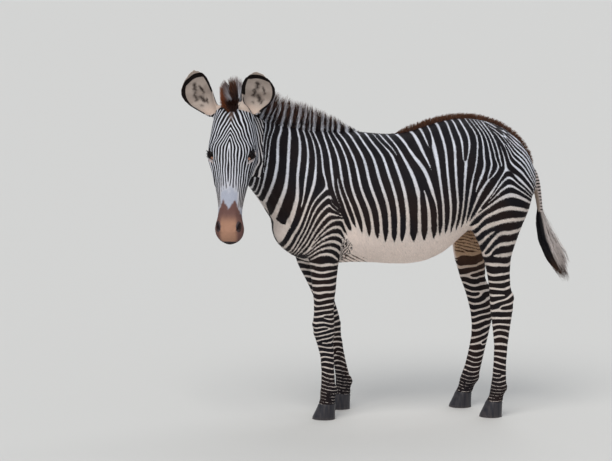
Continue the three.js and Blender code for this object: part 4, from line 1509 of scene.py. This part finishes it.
def make_coat(skin):
    """Short blades that lie along the skin, in pieces small enough to export."""
    points = skin.surface.points
    fine = np.maximum(slim_share(points), head_share(points))
    length = mix(0.0100, 0.0058, fine) * (1 + 0.25 * rise(points[:, 2], 1.30, 1.0) * (1 - fine))
    bare = near_eye_or_nostril(points)
    weight = (mix(1.0, FINE_SHARE, fine) * (1 - bare))[skin.surface.triangles].mean(1)
    for number in range(COAT_PIECES):
        picked, shares = skin.roots(weight, COAT_TUFTS)
        hairs = tufts(skin, picked, shares, length)
        colours = hairs.spread(skin.colour_at(picked, shares) * tones(COAT_TUFTS, 0.09, 0.3))
        roots = blend_corners(shares, skin.places[picked])
        hairs.piece(f"coat_{number + 1}", colours, roots, FUR, "coat")


def near_eye_or_nostril(points):
    """1 where no fur grows: the eyes' openings, their lids' edges and the nostrils."""
    bare = np.zeros(len(points))
    for eye in EYE_FRAMES.values():
        u, v, front = eye.places(points)
        near = np.linalg.norm(points - eye.centre, axis=1) < 0.045
        bare = np.maximum(bare, near * (front > 0) * rise(eye.opening(u, v), 2.6, 2.1))
    for sign in (1, -1):
        away = np.linalg.norm(points - nostril_place(sign), axis=1)
        bare = np.maximum(bare, rise(away, 0.024, 0.018))
    return bare


# ---- Mane, ridge, tail and lashes -----------------------------------------------------------

MANE_HAIRS, RIDGE_HAIRS, TASSEL_HAIRS = 16_000, 9_000, 5_000
LONG_LEVELS = (0.0, 0.35, 0.7, 1.0)
MANE_WIDTH, RIDGE_WIDTH, TASSEL_WIDTH = 0.0032, 0.0026, 0.0026
MANE_WHITE = 0.36  # the white share of a stripe and its gap in the mane
MANE_FRONT, MANE_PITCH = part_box("mane")[0][0], 0.034  # the x it starts at, and its stripes there
MANE_NOTCH = 0.050  # how far behind its front end the crest has a gap
MANE_FALL = np.array([-0.036, 0.0, 0.024])  # how far the front of the mane leans forward and up
FORELOCK_HAIRS, FORELOCK_LENGTH = 1000, 0.062
TASSEL_REACH = 0.13  # how far above the tassel its first hairs grow
LASH_WIDTH = 0.0009
LID_LASHES = ((1, 60, 0.015), (-1, 24, 0.007))  # upper and lower lid: its sign, lashes and length
CLUMP = 0.020  # the distance between the points of the mane's ragged edge


def places_on_node(name, count):
    """Random places all over a CAD node's surface."""
    points, triangles = node_mesh(name)
    a, b, c = points[triangles].transpose(1, 0, 2)
    area = np.cumsum(np.linalg.norm(np.cross(b - a, c - a), axis=1))
    picked = np.searchsorted(area / area[-1], RNG.random(count))
    u, v = np.sort(RNG.random((2, count)), axis=0)
    return a[picked] * u[:, None] + b[picked] * (v - u)[:, None] + c[picked] * (1 - v)[:, None]


def crossways(roots, tips):
    """A random direction across each hair."""
    return unit(np.cross(tips - roots, RNG.normal(size=roots.shape)))


def strands(roots, tips, bends, width, sink):
    """Long blades of uneven width, turned at random, whose roots are moved by `sink`."""
    widths = RNG.uniform(0.6, 1.0, len(roots)) * width
    return Hairs(roots + sink, tips, bends, widths, crossways(roots, tips), LONG_LEVELS)


def comb_of_hair(skin, node, count, lean, ragged):
    """Upright hair that fills a CAD node's outline, rooted in the skin beneath it."""
    tips = places_on_node(node, count)
    picked, roots = skin.nearest(tips - lean)
    tall = np.linalg.norm(tips - roots, axis=1)
    kept = tall > 0.006
    picked, roots, tips = picked[kept], roots[kept], tips[kept]
    clumps = wobble(roots * [1, 0.5, 0.5], CLUMP, 14)[:, None]
    share = 1 - ragged * (0.5 - 0.5 * clumps).clip(0, 1) * RNG.uniform(0.3, 1.0, (len(tips), 1))
    tips = roots + (tips - roots) * share
    return picked, roots, tips


def make_mane(skin):
    """The stripes run up into the mane, and its tips are brown."""
    picked, roots, tips = comb_of_hair(skin, "mane", MANE_HAIRS, np.zeros(3), 0.22)
    forward = rise(tips[:, 0], MANE_FRONT + 0.19, MANE_FRONT + 0.04)[:, None]
    notch = np.exp(-(((roots[:, 0] - MANE_FRONT - MANE_NOTCH) / 0.010) ** 2))[:, None]
    tips = roots + (tips - roots) * (1 - 0.32 * notch) + forward * MANE_FALL
    bends = RNG.normal(0, 0.0035, roots.shape) - 0.25 * forward * MANE_FALL
    hairs = strands(roots, tips, bends, MANE_WIDTH, -skin.facing[picked] * 0.004)
    wave = body_wave(roots, np.sign(roots[:, 1] - MIDLINE))
    front_wave = wave_of((roots[:, 0] - MANE_FRONT) / MANE_PITCH)
    wave = np.where(roots[:, 0] < MANE_FRONT + 0.17, front_wave, one_long(wave))
    edge = wave.real - math.cos(math.pi * MANE_WHITE)
    colour = mix(BLACK, WHITE, whiteness(edge))
    first = rise(roots[:, 0], MANE_FRONT + 0.035, MANE_FRONT + 0.015)[:, None]
    colour = mix(colour, mix(FORELOCK_BROWN, HAIR_ORANGE, 0.6 * forward), first)
    colour = colour * tones(len(picked), 0.12, 0.4)
    tip = mix(mix(HAIR_BROWN, HAIR_ORANGE, first), BROWN_BLACK, RNG.random((len(picked), 1)) * 0.7)
    colours = hairs.shaded(colour, tip, hairs.spread(0.74 - 0.34 * forward)[:, 0])
    root_places = skin.places[picked].mean(1)
    hairs.piece("mane_hair", colours, root_places, LONG_HAIR, "long_hair", "mane")


def make_forelock(skin):
    """A dark tuft that stands out over the forehead."""
    shares = RNG.uniform(-1, 1, (FORELOCK_HAIRS, 2))
    around = POLL + np.array([(0.034 + 0.016 * a, 0.07, 0.022 * b) for a, b in shares]) @ HEAD_AXES
    picked, roots = skin.nearest(around)
    clumps = wobble(roots, 0.022, 21)[:, None]
    way = 1.0 * FACE - 0.85 * DOWN + shares[:, 1:] * 0.60 * LEFTWARD - 0.25 * LEFTWARD
    way = unit(way + RNG.normal(0, 0.13, roots.shape))
    long = FORELOCK_LENGTH * (0.8 + 0.3 * clumps) * RNG.uniform(0.7, 1.1, (len(roots), 1))
    tips = roots + way * long.clip(0.01, 0.08)
    hairs = strands(roots, tips, -DOWN * 0.10 * long, MANE_WIDTH, -FACE * 0.004)
    base = FORELOCK_BROWN * tones(len(roots), 0.15, 0.4)
    aside = rise(-shares[:, 1:], 0.2, 1.0)
    tip = mix(FORELOCK_BROWN, HAIR_ORANGE, 0.05 + 0.9 * aside)
    colours = hairs.shaded(base, tip, 0.5)
    hairs.piece("forelock", colours, skin.places[picked].mean(1), LONG_HAIR, "long_hair")


def make_ridge(skin):
    """The dark hair that stands along the spine."""
    lean = X * 0.010
    picked, roots, tips = comb_of_hair(skin, "dorsal_ridge", RIDGE_HAIRS, lean, 0.25)
    bends = RNG.normal(0, 0.0015, roots.shape)
    hairs = strands(roots, tips, bends, RIDGE_WIDTH, -skin.facing[picked] * 0.003)
    base = mix(BLACK, HAIR_BROWN, RNG.random((len(picked), 1)) * 0.35)
    tip = mix(HAIR_BROWN, HAIR_GOLD, RNG.random((len(picked), 1)) * 0.5)
    colours = hairs.shaded(base, tip, 0.45, 0.9)
    root_places = skin.places[picked].mean(1)
    hairs.piece("ridge_hair", colours, root_places, LONG_HAIR, "long_hair", "dorsal_ridge")


def tail_line(lowest, highest):
    """Heights along the tail's end and its tassel, and the middle of them at each."""
    points = np.concatenate([places_on_node(name, 20_000) for name in ("tail_tassel", "tail")])
    heights = np.linspace(lowest, highest, 30)
    return heights, np.array([points[np.abs(points[:, 2] - z) < 0.03].mean(0) for z in heights])


def tassel_colours(tips, outward, bottom):
    """Each hair's base and tip: pale behind, black in front, and brown at the very end."""
    height = tips[:, 2] - bottom
    behind = rise(outward[:, 0], -0.004, 0.008) * rise(height, -0.02, 0.10)
    pale = behind * (RNG.random(len(tips)) < 0.93)
    base = mix(BLACK, TASSEL_PALE, pale[:, None]) * tones(len(tips), 0.12, 0.4)
    brown = rise(height, 0.14, 0.02) * (0.9 - 0.6 * pale)
    return base, mix(base, TAIL_TIP, brown[:, None])


def make_tassel():
    """Long hair that leaves the tail's end at many heights and follows the tassel down."""
    tips = places_on_node("tail_tassel", TASSEL_HAIRS)
    (left, _, bottom), (_, _, top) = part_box("tail_tassel")
    tips[:, 2] += rise(tips[:, 2], bottom + 0.10, bottom) * RNG.uniform(-0.02, 0.10, len(tips))
    line = tail_line(bottom + 0.02, top + TASSEL_REACH)
    highest = top + TASSEL_REACH * RNG.random(len(tips)) ** 2
    start = np.minimum(tips[:, 2] + RNG.uniform(0.06, 0.32, len(tips)), highest)
    at_start, at_tip = (between_rows(z, *line) for z in (start, tips[:, 2]))
    halfway = between_rows((start + tips[:, 2]) / 2, *line)
    outward = tips - at_tip
    thin = 0.45 * rise(tips[:, 2], bottom + 0.16, bottom + 0.02)[:, None]
    tips = tips - thin * outward * [1, 1, 0]
    roots = at_start + unit(outward) * 0.008
    roots[:, 2] = start
    bends = halfway - (at_start + at_tip) / 2 + outward * 0.30
    bends[:, 2] = 0
    hairs = strands(roots, tips, bends, TASSEL_WIDTH, 0.0)
    colours = hairs.shaded(*tassel_colours(tips, outward, bottom), 0.4)
    places = (tips[:, [0, 2]] - [left, bottom]) / 2
    hairs.piece("tassel_hair", colours, places, LONG_HAIR, "long_hair", "tail_tassel")


def make_lashes():
    """Long dark lashes along the upper lids, and shorter ones below."""
    roots, tips, bends = [], [], []
    for eye in EYE_FRAMES.values():
        for lid, count, reach in LID_LASHES:
            u = RNG.uniform(-0.75, 0.85, count) * EYE_OPENING["length"]
            height = EYE_OPENING["above"] if lid > 0 else EYE_OPENING["below"]
            v = lid * height * np.sqrt(np.clip(1.1 - np.abs(u / EYE_OPENING["length"]) ** 1.7, 0.1, 1))
            flat = u[:, None] * eye.along + v[:, None] * eye.up
            root = eye.centre + unit(flat + eye.out * 0.020) * (EYE_RADIUS + 0.0015)
            fan = eye.out + (u[:, None] / 0.022) * eye.along + lid * 0.35 * eye.up
            fan = fan - 0.25 * Z + RNG.normal(0, 0.07, root.shape)
            roots.append(root)
            tips.append(root + unit(fan) * reach * RNG.uniform(0.7, 1.1, (count, 1)))
            bends.append(np.tile(-Z * 0.10 * reach, (count, 1)))
    roots, tips, bends = (np.concatenate(part) for part in (roots, tips, bends))
    widths = np.full(len(roots), LASH_WIDTH)
    hairs = Hairs(roots, tips, bends, widths, crossways(roots, tips), LONG_LEVELS)
    colours = np.tile(BLACK, (len(hairs.points), 1))
    grid = np.stack([np.linspace(0.02, 0.98, len(roots)), np.full(len(roots), 0.5)], 1)
    hairs.piece("lashes", colours, grid, LONG_HAIR, "long_hair")


# ---- Eyes -----------------------------------------------------------------------------------

IRIS_RADIUS, PUPIL_LENGTH, PUPIL_HEIGHT = 0.0125, 0.0080, 0.0034
EYE_RINGS, EYE_SIDES = 60, 72
IRIS, IRIS_RIM = srgb(34, 18, 10), srgb(12, 8, 7)
PUPIL, EYE_RING = srgb(4, 4, 5), srgb(22, 14, 12)


def eye_colours(u, v, front):
    """A level pupil, a brown iris with faint streaks, and a dark ring round it."""
    spread = np.hypot(u, v)
    streak = 0.5 + 0.5 * np.sin(40 * np.arctan2(v, u))
    rim = 0.4 * streak + rise(spread, 0.008, IRIS_RADIUS)
    colours = mix(IRIS, IRIS_RIM, rim[:, None].clip(0, 1))
    ring = np.hypot(u / PUPIL_LENGTH, v / PUPIL_HEIGHT)
    colours = mix(colours, PUPIL, rise(ring, 1.15, 0.9)[:, None])
    outside = np.maximum(rise(spread, IRIS_RADIUS, IRIS_RADIUS + 0.001), front < 0)
    return mix(colours, EYE_RING, outside[:, None])


def make_eye(side):
    """A glossy ball with a level pupil, in rings round its own axis."""
    eye = EYE_FRAMES[side]
    rings, around = EYE_RINGS, EYE_SIDES
    angle = np.linspace(0.004, math.pi - 0.004, rings)[:, None]
    turn = np.linspace(0, 2 * math.pi, around, endpoint=False)[None]
    bulge = 1 + 0.045 * np.exp(-((angle / 0.45) ** 2)) - 0.01
    u = EYE_RADIUS * bulge * np.sin(angle) * np.cos(turn)
    v = EYE_RADIUS * bulge * np.sin(angle) * np.sin(turn)
    front = EYE_RADIUS * bulge * np.cos(angle) * np.ones_like(turn)
    local = np.stack([u, v, front], -1).reshape(-1, 3)
    level = unit(np.cross(Z, eye.out))
    points = eye.centre + local @ np.array([level, np.cross(eye.out, level), eye.out])
    thing = new_object(f"eyeball_{side}", points, tube_faces(rings, around)[:, ::-1])
    add_colour(thing, "colour", eye_colours(*local.T))
    finished(thing, EYE, "eye", f"eye_{side}")


# ---- Hooves ---------------------------------------------------------------------------------

HOOF_HORN, HOOF_PALE = srgb(34, 34, 42), srgb(76, 70, 70)
HOOF_REACH = 0.014  # how far a hoof goes up inside the leg
GROWTH_RINGS, HOOF_SIDES = 9, 72
# Rings under a hoof from the middle out: how far in from the wall's foot, and how high.
SOLE_RINGS = ((0.99, 0.007), (0.20, 0.005), (0.12, 0.0))


def hoof_outline(node):
    """Heights up a packed hoof and on into the leg, and its middle and half size at each."""
    points, _ = node_mesh(node)
    levels = np.unique(points[:, 2].round(4))
    rings = [points[np.abs(points[:, 2] - z) < 0.0005] for z in levels]
    rings = [ring for ring in rings if len(ring) > 6]
    low, high = (np.array([end(ring, axis=0) for ring in rings]) for end in (np.min, np.max))
    top = points[:, 2].max()
    z = np.append(np.linspace(0, top, 40), top + HOOF_REACH)
    middle, half = (between_rows(z, low[:, 2], s[:, :2] / 2) for s in (low + high, high - low))
    half[-1] *= 0.80
    return z, middle, half


def hoof_wall(z, middle, half, around):
    """Rings of points up a hoof, with a cleft between its heels, and those of its sole."""
    top = z[-2]
    turn = np.linspace(0, 2 * math.pi, around, endpoint=False)
    ripple = 1 + 0.006 * np.sin(2 * math.pi * GROWTH_RINGS * z / top) * rise(z, 0.004, 0.012)
    cleft = 1 - sum(0.10 * np.exp(-((away / 0.20) ** 2)) for away in (turn, 2 * math.pi - turn))
    wide = ripple[:, None] * mix(1.0, cleft[None], rise(z, top, 0.0)[:, None])
    px = middle[:, :1] + half[:, :1] * wide * np.cos(turn)
    py = middle[:, 1:] + half[:, 1:] * wide * np.sin(turn)
    wall = np.stack([px, py, np.broadcast_to(z[:, None], px.shape)], -1)
    sole = [mix(wall[0], wall[0].mean(0), share) + Z * lift for share, lift in SOLE_RINGS]
    return np.concatenate([sole, wall])


def make_hoof(leg):
    """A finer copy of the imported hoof: a round wall with growth rings, open heels and a sole."""
    node = f"{leg}_hoof"
    rings = hoof_wall(*hoof_outline(node), HOOF_SIDES)
    wall = rings.reshape(-1, 3)
    thing = new_object(f"{leg}_wall", wall, tube_faces(len(rings), HOOF_SIDES))
    streaks = 0.5 + 0.5 * wobble(wall * [1, 1, 0.12], 0.012, 15)
    low_share = rise(wall[:, 2], 0.02, 0.0)
    colours = mix(HOOF_HORN, HOOF_PALE, (0.45 * streaks + 0.4 * low_share)[:, None].clip(0, 1))
    add_colour(thing, "colour", colours)
    finished(thing, HOOF, "hoof", node)


# ---- Floor, camera and light ----------------------------------------------------------------

AZIMUTH, ELEVATION, ROLL = -12, 9, 1.6
DISTANCE = 15.0
PIXEL = 0.00515  # metres of the animal that one pixel of the photograph covers
PHOTO_WIDTH, PHOTO_CENTRE = 612, (306, 230.5)
TARGET, TARGET_PIXEL = np.array([SHIFT + 0.1155, MIDLINE, 0.8]), (401, 260)
SENSOR = 36


def stage_piece(name, points, faces, colour):
    thing = new_object(name, np.array(points, float), np.array(faces), smooth=False)
    material, _, _, shader = new_material(name, 0.9, 0.1)
    shader.inputs["Base Color"].default_value = (*colour, 1)
    thing.data.materials.append(material)


def make_floor():
    half = 90
    corners = [(-half, -half, 0), (half, -half, 0), (half, half, 0), (-half, half, 0)]
    stage_piece("floor", corners, [(0, 1, 2, 3)], srgb(205, 204, 201))


def camera_view():
    """The camera's place and its axes: to its right, up, and back from what it sees."""
    a, e, roll = (math.radians(angle) for angle in (AZIMUTH, ELEVATION, ROLL))
    back = np.array([math.sin(a) * math.cos(e), -math.cos(a) * math.cos(e), math.sin(e)])
    level = np.array([math.cos(a), math.sin(a), 0])
    above = np.cross(back, level)
    right = math.cos(roll) * level + math.sin(roll) * above
    up = -math.sin(roll) * level + math.cos(roll) * above
    position = TARGET + back * DISTANCE
    shift = [(c - t) * PIXEL for c, t in zip(PHOTO_CENTRE, TARGET_PIXEL)]
    aim = TARGET + right * shift[0] - up * shift[1]
    back = unit(position - aim)
    right = unit(np.cross(up, back))
    return position, right, np.cross(back, right), back


def make_camera():
    """The photograph's camera, rolled and aimed so that the animal stands where it does there."""
    position, *axes = camera_view()
    camera = bpy.data.objects.new("camera", bpy.data.cameras.new("camera"))
    camera.data.lens = DISTANCE / PIXEL * SENSOR / PHOTO_WIDTH
    camera.data.sensor_width = SENSOR
    camera.data.clip_end = 400
    rows = np.eye(4)
    rows[:3, :3] = np.stack(axes, 1)
    rows[:3, 3] = position
    camera.matrix_world = Matrix(rows.tolist())
    bpy.context.scene.collection.objects.link(camera)
    bpy.context.scene.camera = camera


def sun(name, place, power, angle, colour):
    """Even light from the direction of `place`, as soft as its angle is wide."""
    light = bpy.data.lights.new(name, "SUN")
    light.energy, light.angle, light.color = power, math.radians(angle), colour
    thing = bpy.data.objects.new(name, light)
    thing.rotation_euler = Vector(place).to_track_quat("Z", "Y").to_euler()
    bpy.context.scene.collection.objects.link(thing)


def make_light():
    sun("key", (-1.5, -2.6, 4.0), 1.75, 40, (1.0, 0.98, 0.95))
    sun("back", (2.0, 3.5, 4.0), 0.9, 50, (0.94, 0.97, 1.0))
    world = bpy.data.worlds.new("world")
    world.use_nodes = True
    background = world.node_tree.nodes["Background"]
    background.inputs["Color"].default_value = (0.86, 0.90, 0.96, 1)
    background.inputs["Strength"].default_value = 0.50
    bpy.context.scene.world = world
    bpy.context.scene.view_settings.view_transform = "Standard"


# ---- The zebra ------------------------------------------------------------------------------


def main():
    skin = Skin()
    make_skin(skin)
    make_coat(skin)
    make_mane(skin)
    make_forelock(skin)
    make_ridge(skin)
    make_tassel()
    make_lashes()
    for side in SIDES:
        make_eye(side)
    for leg in LEGS:
        make_hoof(leg)
    make_floor()
    make_camera()
    make_light()


main()
